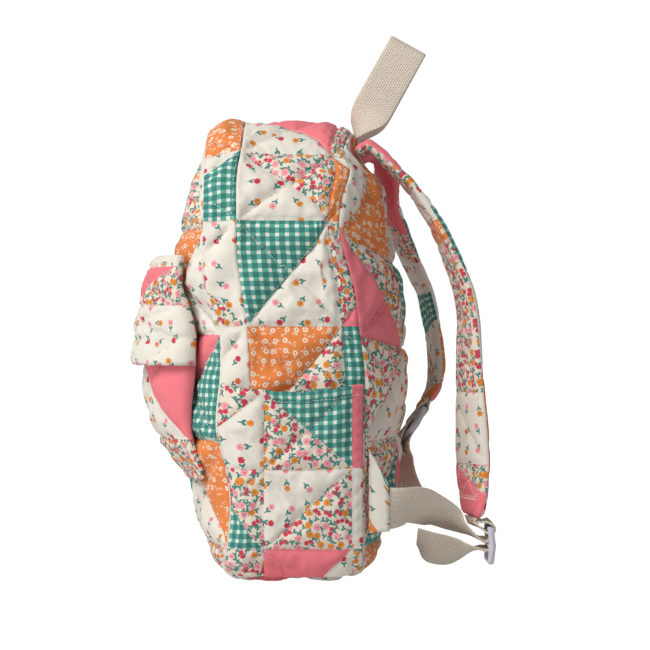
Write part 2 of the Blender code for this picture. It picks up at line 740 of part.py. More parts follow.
def make_strap_loop(name, frame, strap_end, strap_way, across, finish):
    """Short webbing from the strap's end round the slider's top bar and back."""
    bar_z = SLIDER_HEIGHT / 2 - BAR / 2
    bar = frame @ Vector((0, 0, bar_z))
    local = frame.inverted() @ strap_end - Vector((0, 0, bar_z))
    arc = turn_round_bar(frame, bar_z, math.atan2(local.z, local.y), 6)
    apart = WEB_THICKNESS * LOOP_APART
    leave = strap_end + strap_way * GAP
    side = across.cross(strap_way).normalized()
    if side.dot(arc[0] - bar) < 0:
        side = -side
    x_axis = frame.to_3x3() @ Vector((1, 0, 0))
    back_way = (leave - bar).normalized()
    reach = (bar - leave).length * LOOP_LEAD
    route = [leave + side * apart]
    route.append(leave + side * apart + strap_way * reach)
    route.append(arc[0] + back_way * reach)
    route += arc
    route.append(arc[-1] + back_way * reach)
    route.append(leave - side * apart + strap_way * reach)
    route.append(leave - side * apart)
    rings = []
    for i, (here, along) in enumerate(zip(route, tangents([tuple(p) for p in route]))):
        share = min(i, len(route) - 1 - i) / 3
        wide = across.lerp(x_axis, min(share, 1))
        wide = (wide - along * wide.dot(along)).normalized()
        rings.append(flat_ring(here, wide, along.cross(wide), WEB_WIDTH, WEB_THICKNESS))
    return loft(name, rings, finish)


def tab_rows(side):
    """A tab's sections from the back seam to its tip, where the webbing leaves it."""
    tip_z = (TAB_LOW + TAB_HIGH) / 2 - TAB_WEB_DROP
    x = HALF - SEAM_PINCH - TAB_THICKNESS / 2
    rows = []
    for share in (0, 0.3, 0.65, 1):
        low = TAB_LOW * (1 - share) + (tip_z - WEB_WIDTH / 2 - TAB_HEM) * share
        high = TAB_HIGH * (1 - share) + (tip_z + WEB_WIDTH / 2 + TAB_HEM) * share
        thick = TAB_THICKNESS * (1 + 0.5 * math.sin(math.pi * share))
        middle = Vector((side * x, seam("back", tip_z) + TAB_REACH * share, (low + high) / 2))
        rows.append(flat_ring(middle, Vector((0, 0, 1)), Vector((side, 0, 0)), high - low, thick))
    shift = seat(rows[:1])
    return [[p + shift for p in row] for row in rows]


def tab_tip(side):
    """The middle of a tab's tip."""
    last = tab_rows(side)[-1]
    return sum(last, Vector()) / len(last)


def make_tab(name, side, finish):
    """A triangular tab from the back seam to the webbing's end."""
    return loft(name, tab_rows(side), finish)


def make_webbing(name, side, frame, finish):
    """Webbing from a tab, over and round the slider's middle bar, and its free tail."""
    start = tab_tip(side) + Vector((0, TAB_GAP, 0))
    run, tail, legs = (RIGHT_RUN, RIGHT_TAIL, math.pi) if side > 0 else (LEFT_RUN, LEFT_TAIL, -math.pi / 2)
    arc = turn_round_bar(frame, 0, legs)
    leg_way = frame.to_3x3() @ Vector((0, math.cos(legs), math.sin(legs)))
    leg = leg_way * (LEG if side > 0 else SLIDER_HEIGHT / 2 + LEG / 2)
    arrive = arc[0] + leg
    leave = arc[-1] + leg
    x_axis = frame.to_3x3() @ Vector((1, 0, 0))
    before = []
    for row in run:
        x = start.x + (arrive.x - start.x) * row.x
        y = start.y + (arrive.y - start.y) * row.y
        z = start.z + (arrive.z - start.z) * row.z
        before.append((x, y, z, row.turn))
    before += [(*arrive, 90), (*arc[0], 90)]
    after = [(*arc[-1], 90), (*leave, 90)]
    for row in tail:
        x = leave.x + side * TAIL_LENGTH * row.x
        y = leave.y + TAIL_LENGTH * row.y
        z = leave.z + TAIL_LENGTH * row.z
        after.append((x, y, z, row.turn))
    middle = [(*p, 90) for p in arc[1:-1]]
    stations = curve_points(before, WEB_STEP) + middle + curve_points(after, WEB_STEP)
    rings = []
    upright = Vector((0, 0, 1))
    ways = tangents(stations)
    ways[0] = Vector((0, 1, 0))
    for here, along in zip(stations, ways):
        turn = math.radians(here[3])
        wide = upright * math.cos(turn) + x_axis * side * math.sin(turn)
        wide = (wide - along * wide.dot(along)).normalized()
        rings.append(flat_ring(Vector(here[:3]), wide, along.cross(wide), WEB_WIDTH, WEB_THICKNESS))
    return loft(name, rings, finish)


def make_handle(finish):
    """The twisted loop at the top of the back seam."""
    lean = math.radians(HANDLE_LEAN)
    up = Vector((0, math.sin(lean), math.cos(lean)))
    level = Vector((0, math.cos(lean), -math.sin(lean)))
    foot = Vector((0, seam("back", BAG_HEIGHT), BAG_HEIGHT - SEAM_PINCH - HANDLE_SINK))
    right = []
    for row in HANDLE_LEG:
        place = foot + up * (HANDLE_RISE - HANDLE_BEND) * row.rise
        place = place + Vector((row.spread * HANDLE_SPACING / 2, 0, 0))
        right.append((place, math.radians(row.turn)))
    bend = []
    for k in range(1, 6):
        angle = math.pi * k / 6
        place = foot + up * (HANDLE_RISE - HANDLE_BEND + HANDLE_BEND * math.sin(angle))
        place = place + Vector((HANDLE_BEND * math.cos(angle), 0, 0))
        bend.append((place, math.pi / 2))
    stations = []
    for place, turn in right + bend:
        across = Vector((1, 0, 0)) * math.cos(turn) + level * math.sin(turn)
        stations.append((place, across))
    for place, turn in reversed(right):
        across = Vector((-1, 0, 0)) * math.cos(turn) + level * math.sin(turn)
        stations.append((Vector((-place.x, place.y, place.z)), across))
    rings = []
    for (place, across), along in zip(stations, tangents([tuple(s[0]) for s in stations])):
        across = (across - along * across.dot(along)).normalized()
        rings.append(flat_ring(place, across, along.cross(across), WEB_WIDTH, WEB_THICKNESS))
    shift = seat(rings[:3])
    rings = [[p + shift for p in ring] for ring in rings]
    return loft("top_handle", rings, finish)


for old in list(bpy.data.objects):
    bpy.data.objects.remove(old)

collection = bpy.data.collections.new("kids_backpack")
bpy.context.scene.collection.children.link(collection)
rig = bpy.data.objects.new("backpack_rig", None)
collection.objects.link(rig)

cotton = material("quilted_cotton", (0.80, 0.76, 0.66), 0.9)
webbing = material("cotton_webbing", (0.72, 0.65, 0.57), 0.85)
plastic = material("slider_plastic", (0.60, 0.59, 0.72), 0.35)
tape = material("zip_tape", (0.55, 0.50, 0.42), 0.8)

shell("front_shell", -FRONT_SEAM, -ZIP_LINE - ZIP_GAP / 2, 1, cotton)
rear = shell("rear_shell", -ZIP_LINE + ZIP_GAP / 2, BACK_SEAM, -1, cotton)
back_faces = BVHTree.FromObject(rear, bpy.context.evaluated_depsgraph_get())
make_zip_tape(tape)
make_front_pocket(cotton)
make_pocket_flap(cotton)
make_handle(webbing)
for word, sign in STRAP_SIDES.items():
    make_side_pocket(f"side_pocket_{word}", sign, cotton)
    make_tab(f"strap_tab_{word}", sign, cotton)
    strap_table = RIGHT_STRAP if sign > 0 else LEFT_STRAP
    strap_end = RIGHT_STRAP_END if sign > 0 else LEFT_STRAP_END
    strap_tip = make_strap(f"shoulder_strap_{word}", sign, strap_table, strap_end, cotton)
    middle, way, level = strap_tip
    if sign > 0:
        slider = slider_frame(RIGHT_SLIDER, Vector((0, 0, 1)), Vector((1, 0, 0)))
    else:
        slider = slider_frame(middle + way * LEFT_SLIDER_DROP, -way, level)
    make_slider(f"slider_{word}", slider, plastic)
    make_strap_loop(f"strap_loop_{word}", slider, *strap_tip, webbing)
    make_webbing(f"webbing_{word}", sign, slider, webbing)
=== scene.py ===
"""A quilted patchwork kids backpack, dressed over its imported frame.

Width runs along X, the front pocket looks towards -Y, the straps hang towards +Y, and the bag stands
on z = 0. Each quilted piece starts as a flat cloth in metres, is cut along its patch seams and its
quilting lines, gets its prints, and is then laid over the bag and stuffed.
"""
import math
from collections import namedtuple

import bmesh
import bpy
import numpy as np
from bpy.props import FloatProperty, FloatVectorProperty, IntProperty, PointerProperty
from mathutils import Matrix, Vector
from mathutils.bvhtree import BVHTree


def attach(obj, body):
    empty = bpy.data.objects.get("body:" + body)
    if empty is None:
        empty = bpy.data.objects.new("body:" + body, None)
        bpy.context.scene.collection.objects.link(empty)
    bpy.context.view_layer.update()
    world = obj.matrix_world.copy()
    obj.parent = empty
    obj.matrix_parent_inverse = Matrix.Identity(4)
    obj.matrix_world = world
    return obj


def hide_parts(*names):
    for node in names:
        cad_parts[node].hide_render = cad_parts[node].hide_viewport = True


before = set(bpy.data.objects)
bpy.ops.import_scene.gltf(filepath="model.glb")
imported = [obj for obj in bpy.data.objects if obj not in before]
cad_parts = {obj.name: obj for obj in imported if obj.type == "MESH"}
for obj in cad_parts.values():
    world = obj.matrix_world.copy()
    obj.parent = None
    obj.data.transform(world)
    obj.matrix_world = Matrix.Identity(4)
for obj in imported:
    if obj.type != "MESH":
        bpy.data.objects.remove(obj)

bl_info = {
    "name": "Quilted kids backpack",
    "version": (1, 0, 0),
    "blender": (4, 5, 0),
    "location": "3D View > Sidebar > Backpack",
    "description": "Dresses a kids backpack with quilted patchwork, webbing and sliders",
    "category": "Object",
}

MM = 0.001

QUILT_RELIEF = 5 * MM  # from the top of the quilting to its sewn lines
POCKET_RELIEF = 3.6 * MM
STRAP_RELIEF = 1.6 * MM
PUFF_REACH = 15 * MM  # from a sewn line to the quilt's full height
CREASE_WIDTH = 2.4 * MM
SEAM_CREASE_WIDTH = 1.7 * MM
UNEVENNESS = 0.7 * MM
PUCKER_HEIGHT = 0.55 * MM
PUCKER_PITCH = 9 * MM
PUCKER_REACH = 5 * MM  # how far the puckers run out from a sewn line
QUILT_FADE = 8 * MM  # from a cloth's edge to its full quilting
UNEVEN_FADE = 20 * MM
PUCKER_FADE = 6 * MM
SEWN_DIAGONAL = 0.9 * MM  # how near a line the stuffing leaves the cloth where it is
SEWN_SIDE = 0.5 * MM
SEWN_EDGE = 1.2 * MM
FULL_RELIEF_LIFT = 6 * MM  # how far the pouch and flap stand out where their quilting is full
REST = 0.2 * MM  # the cloth's lowest point above the ground
BACK_SAG = 22 * MM  # how far the back panel's cloth sags at its crown
SAG_FROM = 0.33  # the share of the height where the sag starts, and over which it grows and ends
SAG_GROWS = 0.42
SAG_ENDS = 0.25
BACK_PUFF = 6 * MM  # how far it rounds out just below its top
BACK_PUFF_AT = 0.945  # the share of the height where it does
BACK_PUFF_SPREAD = 0.035
STRAP_TIP = 14 * MM  # length over which a strap narrows to its end
STRAP_END = 4 * MM  # length over which its padding thins out
BOX_HALF = 13 * MM  # the stitched box at a strap's end
BOX_LOW = 36 * MM
BOX_HIGH = 14 * MM
BOX_PITCH = 2.2 * MM
BOX_STITCH = 1.7 * MM
TACK_PITCH = 1.2 * MM  # the dense bar beyond the box
TACK_STITCH = 1.1 * MM
ZIP_STITCH = 1.8 * MM  # from the zip line to its top stitching
HEM = 7 * MM  # from a side pocket's top edge to its hem stitching
COTTON_WEAVE = 0.55 * MM  # from thread to thread
WEB_RIB = 1.7 * MM
WEB_ROW = 1.9 * MM
CHECK_PITCH = 6.3 * MM  # the gingham's check and the gap after it
THREAD = 0.2 * MM  # half the thread's thickness
STITCH_PITCH = 3.1 * MM
STITCH_LENGTH = 2 * MM
BLUNT_STEPS = 8  # stations over which the right webbing's tail turns to its cut end
WHITE = 1.02  # the world's strength where the camera sees it

# What the stuffing's cloth is like.
STUFFING = {
    "quality": 4,
    "mass": 0.25,
    "tension_stiffness": 18,
    "compression_stiffness": 18,
    "shear_stiffness": 8,
    "bending_stiffness": 0.6,
    "vertex_group_mass": "sewn",
    "use_pressure": True,
}

# The bag's sizes, as the frame has them.
HALF = 120 * MM
BAG_HEIGHT = 332 * MM
SHOULDER_RADIUS = 88 * MM
BOTTOM_RADIUS = 28 * MM
FRONT_SEAM = 50 * MM
BACK_SEAM = 52 * MM
ZIP_LINE = 28.5 * MM
FRONT_BULGE = 30 * MM
BACK_BULGE = 36 * MM
CROWN_FALL = 2.4
CROWN_EDGE = 0.8
SEAM_PINCH = 8 * MM
PINCH_REACH = 22 * MM
FRONT_RIDGE = 4 * MM
RIDGE_START = 0.8
SEAM_SHIFT = 12 * MM
MIDDLE_FOLLOWS = 0.3
MIDDLE = 22 * MM
PATCH = 75 * MM
GAP = 0.5 * MM
POCKET_WIDTH = 178 * MM
POCKET_BOTTOM = 70 * MM
POCKET_TOP = 188 * MM
POCKET_BULGE = 27 * MM
POCKET_SIDE = 0.3
POCKET_WALL = 3 * MM
FLAP_MARGIN = 6 * MM
FLAP_BOTTOM = 153 * MM
FLAP_TOP = 232 * MM
FLAP_WALL = 6 * MM
FLAP_LIFT = 3.5 * MM
FLAP_PUFF = 2.5 * MM
SIDE_POCKET_BOTTOM = 7 * MM
SIDE_POCKET_TOP = 141 * MM
SIDE_POCKET_DIP = 6 * MM
SIDE_POCKET_WALL = 2.8 * MM
SIDE_POCKET_MOUTH = 8 * MM
SLACK_RISE = 1.5
SEAM_ROOM = 1.5 * MM
STRAP_WIDTH = 44 * MM
STRAP_THICKNESS = 9 * MM
STRAP_STARTS = {1: Vector((0.047, 0.0479, 0.309)), -1: Vector((-0.047, 0.0479, 0.309))}
RIGHT_SLIDER = Vector((0.058, 0.1435, 0.0225))
STRAP_ENDS = {1: Vector((0.057, 0.132, 0.0425)), -1: Vector((-0.092, 0.103, 0.117))}
WEB_WIDTH = 30 * MM
WEB_THICKNESS = 1.7 * MM
TAIL_LENGTH = 52 * MM
TAB_LOW = 35 * MM
TAB_HIGH = 96 * MM
TAB_REACH = 15 * MM
TAB_THICKNESS = 4 * MM
TAB_WEB_DROP = 13 * MM
TAB_HEM = 1 * MM
TAB_LAP = 4 * MM
TAB_ROUND = 2.5 * MM
TAB_STARTS = {1: 0.0548, -1: 0.0559}
HANDLE_FOOT = Vector((0, 0.047, 0.321))
HANDLE_RISE = 83 * MM
HANDLE_SPACING = 34 * MM
HANDLE_LEAN = 29.0
HANDLE_BEND = 6 * MM
BAR = 3.2 * MM
SLIDER_HEIGHT = 27 * MM
SLIDER_SIDE = 3.4 * MM
SLIDER_BOW = 2.5 * MM
SLIDER_PLATE = 4.2 * MM
SLIDER_CLEARANCE = 1.8 * MM
BAR_CLEARANCE = 0.4 * MM
BAR_CORNER = 0.72
LOOP_APART = 0.75
LOOP_LEAD = 0.3
LEG = 7 * MM
LEFT_SLIDER_DROP = 24 * MM
SIDES = {"right": 1, "left": -1}
WORDS = {1: "right", -1: "left"}


def table(columns, *rows):
    """Rows of numbers under named columns."""
    kind = namedtuple("Row", columns)
    return [kind(*row) for row in rows]


# The seams' shift towards the back over the height, and the panels' bulges, as shares.
SEAMS = table(
    "height front zip back",
    (0.00, 0.00, 0.00, 0.00), (0.13, 0.55, 0.00, 0.00), (0.22, 0.45, 0.00, 0.00), (0.33, -0.25, 0.00, 0.00),
    (0.45, 0.00, 0.00, 0.00), (0.55, -0.10, -0.20, -0.35), (0.63, -0.85, -0.55, -0.65),
    (0.70, -1.00, -0.75, -1.20), (0.76, -1.00, -0.80, -1.50), (0.82, -1.00, -0.85, -1.30),
    (0.88, -1.00, -0.80, -0.85), (0.93, -1.00, -0.60, -1.20), (1.00, -1.00, -0.50, -0.35),
)
BULGES = table(
    "height front back",
    (0.00, 0.00, 0.00), (0.05, 0.50, 0.36), (0.10, 0.88, 0.50), (0.15, 1.05, 0.64), (0.25, 1.08, 0.78),
    (0.40, 1.04, 0.90), (0.54, 1.00, 1.00), (0.67, 0.94, 1.08), (0.76, 0.76, 1.08), (0.84, 0.52, 0.86),
    (0.90, 0.26, 0.42), (0.95, 0.08, 0.12), (1.00, 0.00, 0.00),
)
POCKET_LIFTS = table(
    "height share",
    (0.00, 0.00), (0.05, 0.08), (0.11, 0.28), (0.21, 0.49), (0.34, 0.65), (0.43, 0.79), (0.56, 0.95),
    (0.70, 1.00), (0.85, 0.98), (1.00, 0.84),
)
FLAP_LIFTS = table(
    "height share",
    (0.00, 1.00), (0.08, 1.06), (0.22, 1.04), (0.42, 0.90), (0.55, 0.68), (0.70, 0.44), (0.90, 0.26),
    (0.97, 0.14), (1.00, 0.04),
)

# The straps from the bag to their ends, the webbing from its tab to its slider and on to its free
# end, and one leg of the handle.
STRAPS = {
    1: table(
        "drop reach move turn",
        (0.00, 0.00, 0.0, 0), (-0.02, 0.09, 0.1, 0), (0.06, 0.36, 0.3, 0), (0.15, 0.59, 0.5, 3),
        (0.28, 0.80, 0.7, 8), (0.41, 0.94, 0.9, 12), (0.63, 0.975, 1.0, 20), (0.85, 1.00, 1.0, 28),
        (1.00, 1.00, 1.0, 14),
    ),
    -1: table(
        "drop reach move turn",
        (0.00, 0.00, 0.00, 0), (-0.03, 0.24, 0.05, 4), (0.02, 0.42, 0.38, 14), (0.14, 0.48, 0.96, 18),
        (0.27, 0.64, 1.49, 16), (0.40, 0.86, 1.82, 12), (0.53, 1.06, 1.93, 10), (0.68, 1.17, 1.82, 10),
        (0.83, 1.21, 1.51, 8), (0.93, 1.15, 1.22, 5), (1.00, 1.00, 1.00, 0),
    ),
}
RUNS = {
    1: table(
        "x y z turn",
        (0.00, 0.00, 0.00, 0), (0.12, 0.15, 0.00, 18), (0.32, 0.31, -0.04, 38), (0.54, 0.44, 0.10, 44),
        (0.74, 0.59, 0.31, 50), (0.90, 0.72, 0.58, 62),
    ),
    -1: table(
        "x y z turn",
        (0.00, 0.00, 0.00, 0), (0.04, 0.45, 0.00, 20), (0.22, 0.80, 0.10, 45), (0.50, 0.95, 0.34, 70),
        (0.80, 1.00, 0.70, 85),
    ),
}
TAILS = {
    1: table(
        "x y z turn",
        (0.04, -0.18, -0.04, 70), (0.10, -0.40, -0.04, 46), (0.20, -0.66, 0.04, 42), (0.30, -0.88, 0.20, 62),
    ),
    -1: table(
        "x y z turn",
        (0.00, 0.02, -0.22, 90), (0.00, 0.08, -0.50, 90), (0.00, 0.18, -0.74, 90), (0.00, 0.30, -0.94, 90),
    ),
}
HANDLE_LEG = table(
    "rise spread turn",
    (0.00, 1.00, 0), (0.10, 1.00, 22), (0.22, 0.95, 58), (0.36, 0.86, 84), (0.55, 0.72, 90), (0.75, 0.56, 90),
    (0.90, 0.42, 90),
)

PRINTS = ["cream_sprig", "meadow_floral", "teal_gingham", "orange_blossom", "plain_pink", "lining"]
CREAM, MEADOW, GINGHAM, ORANGE, PINK, LINING = range(len(PRINTS))
LETTERS = {"C": CREAM, "M": MEADOW, "G": GINGHAM, "O": ORANGE, "P": PINK}

# A patch: the print above its seam, the print below it, and how the seam leans.
Patch = namedtuple("Patch", "upper lower lean")


def patch(letters):
    """A patch from its letters: one print, or O/C for orange above a seam that leans so, and cream."""
    return Patch(LETTERS[letters[0]], LETTERS[letters[-1]], letters[1:2] or "/")


def chart(text, first=0):
    """Patches by column and row, from rows of them that start at the top."""
    rows = [line.split() for line in reversed(text.split(";"))]
    return {(first + i, j): patch(cell) for j, row in enumerate(rows) for i, cell in enumerate(row)}


def linear(red, green, blue):
    """A colour of 0 to 255 as Blender's linear red, green and blue."""
    shares = [c / 255 for c in (red, green, blue)]
    return tuple(c / 12.92 if c <= 0.04045 else ((c + 0.055) / 1.055) ** 2.4 for c in shares)


class BackpackCloth(bpy.types.PropertyGroup):
    step: FloatProperty(
        name="Mesh step", description="Length of a quilted face's edge", default=0.0025, unit="LENGTH"
    )
    wall: FloatProperty(
        name="Wall", description="Thickness of the quilted cloth", default=0.0035, unit="LENGTH"
    )
    pressure: FloatProperty(name="Pressure", description="Force that stuffs the quilting", default=6.0)
    slack: FloatProperty(name="Slack", description="Extra cloth between the quilting lines", default=0.05)
    frames: IntProperty(name="Frames", description="Steps of the stuffing simulation", default=12)
    rise: FloatProperty(
        name="Rise", description="How far the stuffing may move a point", default=0.003, unit="LENGTH"
    )


COLOURS = {
    "cream": ("Ground of the sprig print", 241, 236, 225),
    "ground": ("Ground of the dense floral", 242, 230, 214),
    "pink": ("Plain pink cloth", 252, 126, 140),
    "orange": ("Ground of the orange print", 244, 137, 62),
    "rose": ("Pink blossoms", 250, 160, 172),
    "amber": ("Orange blossoms", 236, 146, 44),
    "crimson": ("Crimson blossoms", 218, 44, 78),
    "leaf": ("Leaves and stems", 58, 138, 132),
    "check": ("Gingham check", 82, 174, 162),
    "deep_check": ("Gingham where checks cross", 40, 124, 118),
    "webbing": ("Woven webbing", 248, 235, 217),
    "slider": ("Slider plastic", 216, 214, 230),
}


def colour_property(key):
    use, *colour = COLOURS[key]
    label = key.replace("_", " ").capitalize()
    return FloatVectorProperty(name=label, description=use, subtype="COLOR", default=linear(*colour))


class BackpackColours(bpy.types.PropertyGroup):
    __annotations__ = {key: colour_property(key) for key in COLOURS}


class BackpackStage(bpy.types.PropertyGroup):
    distance: FloatProperty(name="Camera distance", description="Camera's X", default=1.569, unit="LENGTH")
    height: FloatProperty(name="Camera height", description="Camera's height", default=0.182, unit="LENGTH")
    aside: FloatProperty(name="Camera Y", description="Camera's Y", default=0.024, unit="LENGTH")
    view: FloatProperty(
        name="Field of view",
        description="Camera's angle of view",
        default=math.radians(17.85),
        subtype="ANGLE",
    )
    key: FloatProperty(name="Key light", description="Power of the soft light", default=30.0, subtype="POWER")
    fill: FloatProperty(name="Sky", description="Strength of the light from all round", default=0.24)


class Value:
    """A shader socket with arithmetic, so that shader maths reads as an expression."""

    def __init__(self, paper, socket):
        self.paper = paper
        self.socket = socket

    def __add__(self, other):
        return self.paper.math("ADD", self, other)

    __radd__ = __add__

    def __sub__(self, other):
        return self.paper.math("SUBTRACT", self, other)

    def __rsub__(self, other):
        return self.paper.math("SUBTRACT", other, self)

    def __mul__(self, other):
        return self.paper.math("MULTIPLY", self, other)

    __rmul__ = __mul__

    def __truediv__(self, other):
        return self.paper.math("DIVIDE", self, other)


class Paper:
    """A material's nodes, written as expressions."""

    def __init__(self, name):
        self.material = bpy.data.materials.new(name)
        self.material.use_nodes = True
        self.tree = self.material.node_tree
        self.shader = self.tree.nodes["Principled BSDF"]

    def node(self, kind, settings=None, **sockets):
        made = self.tree.nodes.new("ShaderNode" + kind)
        for key, value in (settings or {}).items():
            setattr(made, key, value)
        for key, value in sockets.items():
            name = key.replace("_", " ")
            socket = made.inputs[int(key[1:])] if key[1:].isdigit() else made.inputs[name]
            self.put(socket, value)
        return made

    def put(self, socket, value):
        if isinstance(value, Value):
            self.tree.links.new(value.socket, socket)
        elif isinstance(value, bpy.types.NodeSocket):
            self.tree.links.new(value, socket)
        elif isinstance(value, (tuple, list)) and len(value) == 3 and socket.type == "RGBA":
            socket.default_value = (*value, 1)
        else:
            socket.default_value = value

    def math(self, operation, *values, clamp=False):
        sockets = {f"i{k}": value for k, value in enumerate(values)}
        made = self.node("Math", {"operation": operation, "use_clamp": clamp}, **sockets)
        return Value(self, made.outputs[0])

    def vector(self, operation, *values):
        sockets = {f"i{k}": value for k, value in enumerate(values)}
        return self.node("VectorMath", {"operation": operation}, **sockets).outputs[0]

    def step(self, value, soft):
        """0 below zero and 1 above it, with a soft edge of a given width."""
        return self.math("MULTIPLY_ADD", value, 1 / soft, 0.5, clamp=True)

    def either(self, *masks):
        result = masks[0]
        for mask in masks[1:]:
            result = self.math("MAXIMUM", result, mask)
        return result

    def mix(self, share, under, over):
        made = self.node("Mix", {"data_type": "RGBA"})
        self.put(made.inputs["Factor"], share)
        self.put(made.inputs[6], under)
        self.put(made.inputs[7], over)
        return made.outputs[2]

    def noise(self, place, scale, detail=2.0):
        made = self.node("TexNoise", None, Vector=place, Scale=scale, Detail=detail)
        return Value(self, made.outputs["Factor"] if "Factor" in made.outputs else made.outputs[0])

    def finish(self, **sockets):
        """Sets the shader's sockets, named with underscores, and returns the material."""
        for key, value in sockets.items():
            self.put(self.shader.inputs[key.replace("_", " ")], value)
        return self.material

    def object_place(self):
        return self.node("TexCoord").outputs["Object"]

    def cloth_place(self):
        """The cloth's own flat coordinates, in metres."""
        return self.node("UVMap", {"uv_map": "cloth"}).outputs[0]

    def parts(self, vector):
        made = self.node("SeparateXYZ", None, Vector=vector)
        return [Value(self, out) for out in made.outputs]


def scatter(paper, place, size, shift, loose):
    """Motif places strewn over the cloth: local x and y in metres, turned at random, and a random
    share for each motif."""
    scaled = paper.node("VectorMath", {"operation": "SCALE"}, Vector=place, Scale=1 / size).outputs[0]
    moved = paper.vector("ADD", scaled, (shift, shift * 1.7, 0))
    cells = paper.node("TexVoronoi", {"voronoi_dimensions": "2D"}, Vector=moved, Scale=1.0, Randomness=loose)
    x, y, _ = paper.parts(paper.vector("SUBTRACT", moved, cells.outputs["Position"]))
    colour = paper.node("SeparateColor", None, Color=cells.outputs["Color"])
    turn, pick, _ = [Value(paper, out) for out in colour.outputs]
    angle = turn * (2 * math.pi)
    c = paper.math("COSINE", angle)
    s = paper.math("SINE", angle)
    return (x * c + y * s) * size, (y * c - x * s) * size, pick


def blossom(paper, x, y, radius, petals, depth, soft=0.25 * MM):
    """A mask of a round blossom with lobed petals."""
    out = paper.math("SQRT", x * x + y * y)
    angle = paper.math("ARCTAN2", y, x)
    edge = radius * (1 - depth) + radius * depth * paper.math("COSINE", angle * petals)
    return paper.step(edge - out, soft)


def leaf(paper, x, y, middle, half, angle, soft=0.25 * MM):
    """A mask of an ellipse turned by an angle."""
    c = math.cos(angle)
    s = math.sin(angle)
    u = (x - middle[0]) * c + (y - middle[1]) * s
    v = (y - middle[1]) * c - (x - middle[0]) * s
    reach = paper.math("SQRT", (u / half[0]) * (u / half[0]) + (v / half[1]) * (v / half[1]))
    return paper.step((1 - reach) * min(half), soft)


def sprig(paper, x, y, size):
    """A mask of a stem with three leaves, as long as its size."""
    stem = leaf(paper, x, y, (0, -0.22 * size), (0.12 * size, 0.4 * size), 0)
    left = leaf(paper, x, y, (-0.21 * size, 0.14 * size), (0.19 * size, 0.36 * size), 0.7)
    right = leaf(paper, x, y, (0.21 * size, 0.14 * size), (0.19 * size, 0.36 * size), -0.7)
    return paper.either(stem, left, right)


def finish_cotton(paper, place, colour):
    """The cloth's cotton finish: slubs in its colour, a plain weave and soft creases in its bump."""
    u, v, _ = paper.parts(place)
    slubs = paper.noise(place, 900, 3)
    tone = paper.mix(slubs * 0.16, colour, (0.42, 0.36, 0.28))
    warp = paper.math("SINE", u * (2 * math.pi / COTTON_WEAVE))
    weft = paper.math("SINE", v * (2 * math.pi / COTTON_WEAVE))
    weave = warp * weft * 0.5 + 0.5
    creases = paper.noise(place, 95, 4)
    folds = paper.noise(place, 34, 2)
    height = weave * 0.05 + creases * 0.55 + folds * 0.9
    bump = paper.node("Bump", None, Strength=0.55, Distance=1.3 * MM, Height=height)
    return paper.finish(
        Base_Color=tone, Normal=bump.outputs[0], Roughness=slubs * 0.12 + 0.82, Sheen_Weight=0.12,
        Sheen_Roughness=0.5, Specular_IOR_Level=0.25,
    )


def cream_sprig(colours):
    """Cream cotton with small single blossoms, each beside a leafy sprig."""
    paper = Paper(PRINTS[CREAM])
    place = paper.cloth_place()
    x, y, pick = scatter(paper, place, 14.2 * MM, 3.1, 0.4)
    greens = sprig(paper, x, y + 2.6 * MM, 4.2 * MM)
    petals = blossom(paper, x, y - 1.5 * MM, 2.35 * MM, 6, 0.07)
    heart = blossom(paper, x, y - 1.5 * MM, 0.5 * MM, 1, 0)
    colour = paper.mix(greens, tuple(colours.cream), tuple(colours.leaf))
    hue = paper.mix(paper.step(pick - 0.38, 0.02), tuple(colours.rose), tuple(colours.amber))
    hue = paper.mix(paper.step(pick - 0.68, 0.02), hue, tuple(colours.crimson))
    colour = paper.mix(petals, colour, hue)
    colour = paper.mix(heart * 0.75, colour, linear(150, 40, 40))
    return finish_cotton(paper, place, colour)


def meadow_floral(colours):
    """White cotton crowded with pink, orange and crimson blossoms and leaves."""
    paper = Paper(PRINTS[MEADOW])
    place = paper.cloth_place()
    colour = tuple(colours.ground)
    for size, shift in ((6.4 * MM, 7.3), (7.0 * MM, 1.9)):
        x, y, pick = scatter(paper, place, size, shift, 0.85)
        colour = paper.mix(sprig(paper, x, y, 4.0 * MM), colour, tuple(colours.leaf))
    x, y, pick = scatter(paper, place, 7.4 * MM, 4.4, 0.66)
    stars = blossom(paper, x - 1.4 * MM, y, 1.95 * MM, 7, 0.15)
    stars = paper.either(stars, blossom(paper, x + 1.5 * MM, y - 0.9 * MM, 1.9 * MM, 7, 0.15))
    rounds = blossom(paper, x, y, 2.5 * MM, 8, 0.04)
    heart = blossom(paper, x, y, 0.45 * MM, 1, 0)
    starry = paper.step(pick - 0.6, 0.01)
    hue = paper.mix(paper.step(pick - 0.33, 0.01), tuple(colours.rose), tuple(colours.amber))
    colour = paper.mix(rounds * (1 - starry), colour, hue)
    colour = paper.mix(heart * (1 - starry), colour, linear(176, 46, 44))
    colour = paper.mix(stars * starry, colour, tuple(colours.crimson))
    return finish_cotton(paper, place, colour)


def teal_gingham(colours):
    """Teal and cream gingham, woven in even checks."""
    paper = Paper(PRINTS[GINGHAM])
    place = paper.cloth_place()
    u, v, _ = paper.parts(place)
    pitch = CHECK_PITCH
    bands = []
    for along in (u, v):
        wave = paper.math("PINGPONG", along, pitch / 2)
        bands.append(paper.step(wave - pitch * 0.2, 0.3 * MM))
    warp, weft = bands
    colour = paper.mix(paper.either(warp, weft), linear(243, 240, 228), tuple(colours.check))
    colour = paper.mix(warp * weft, colour, tuple(colours.deep_check))
    return finish_cotton(paper, place, colour)


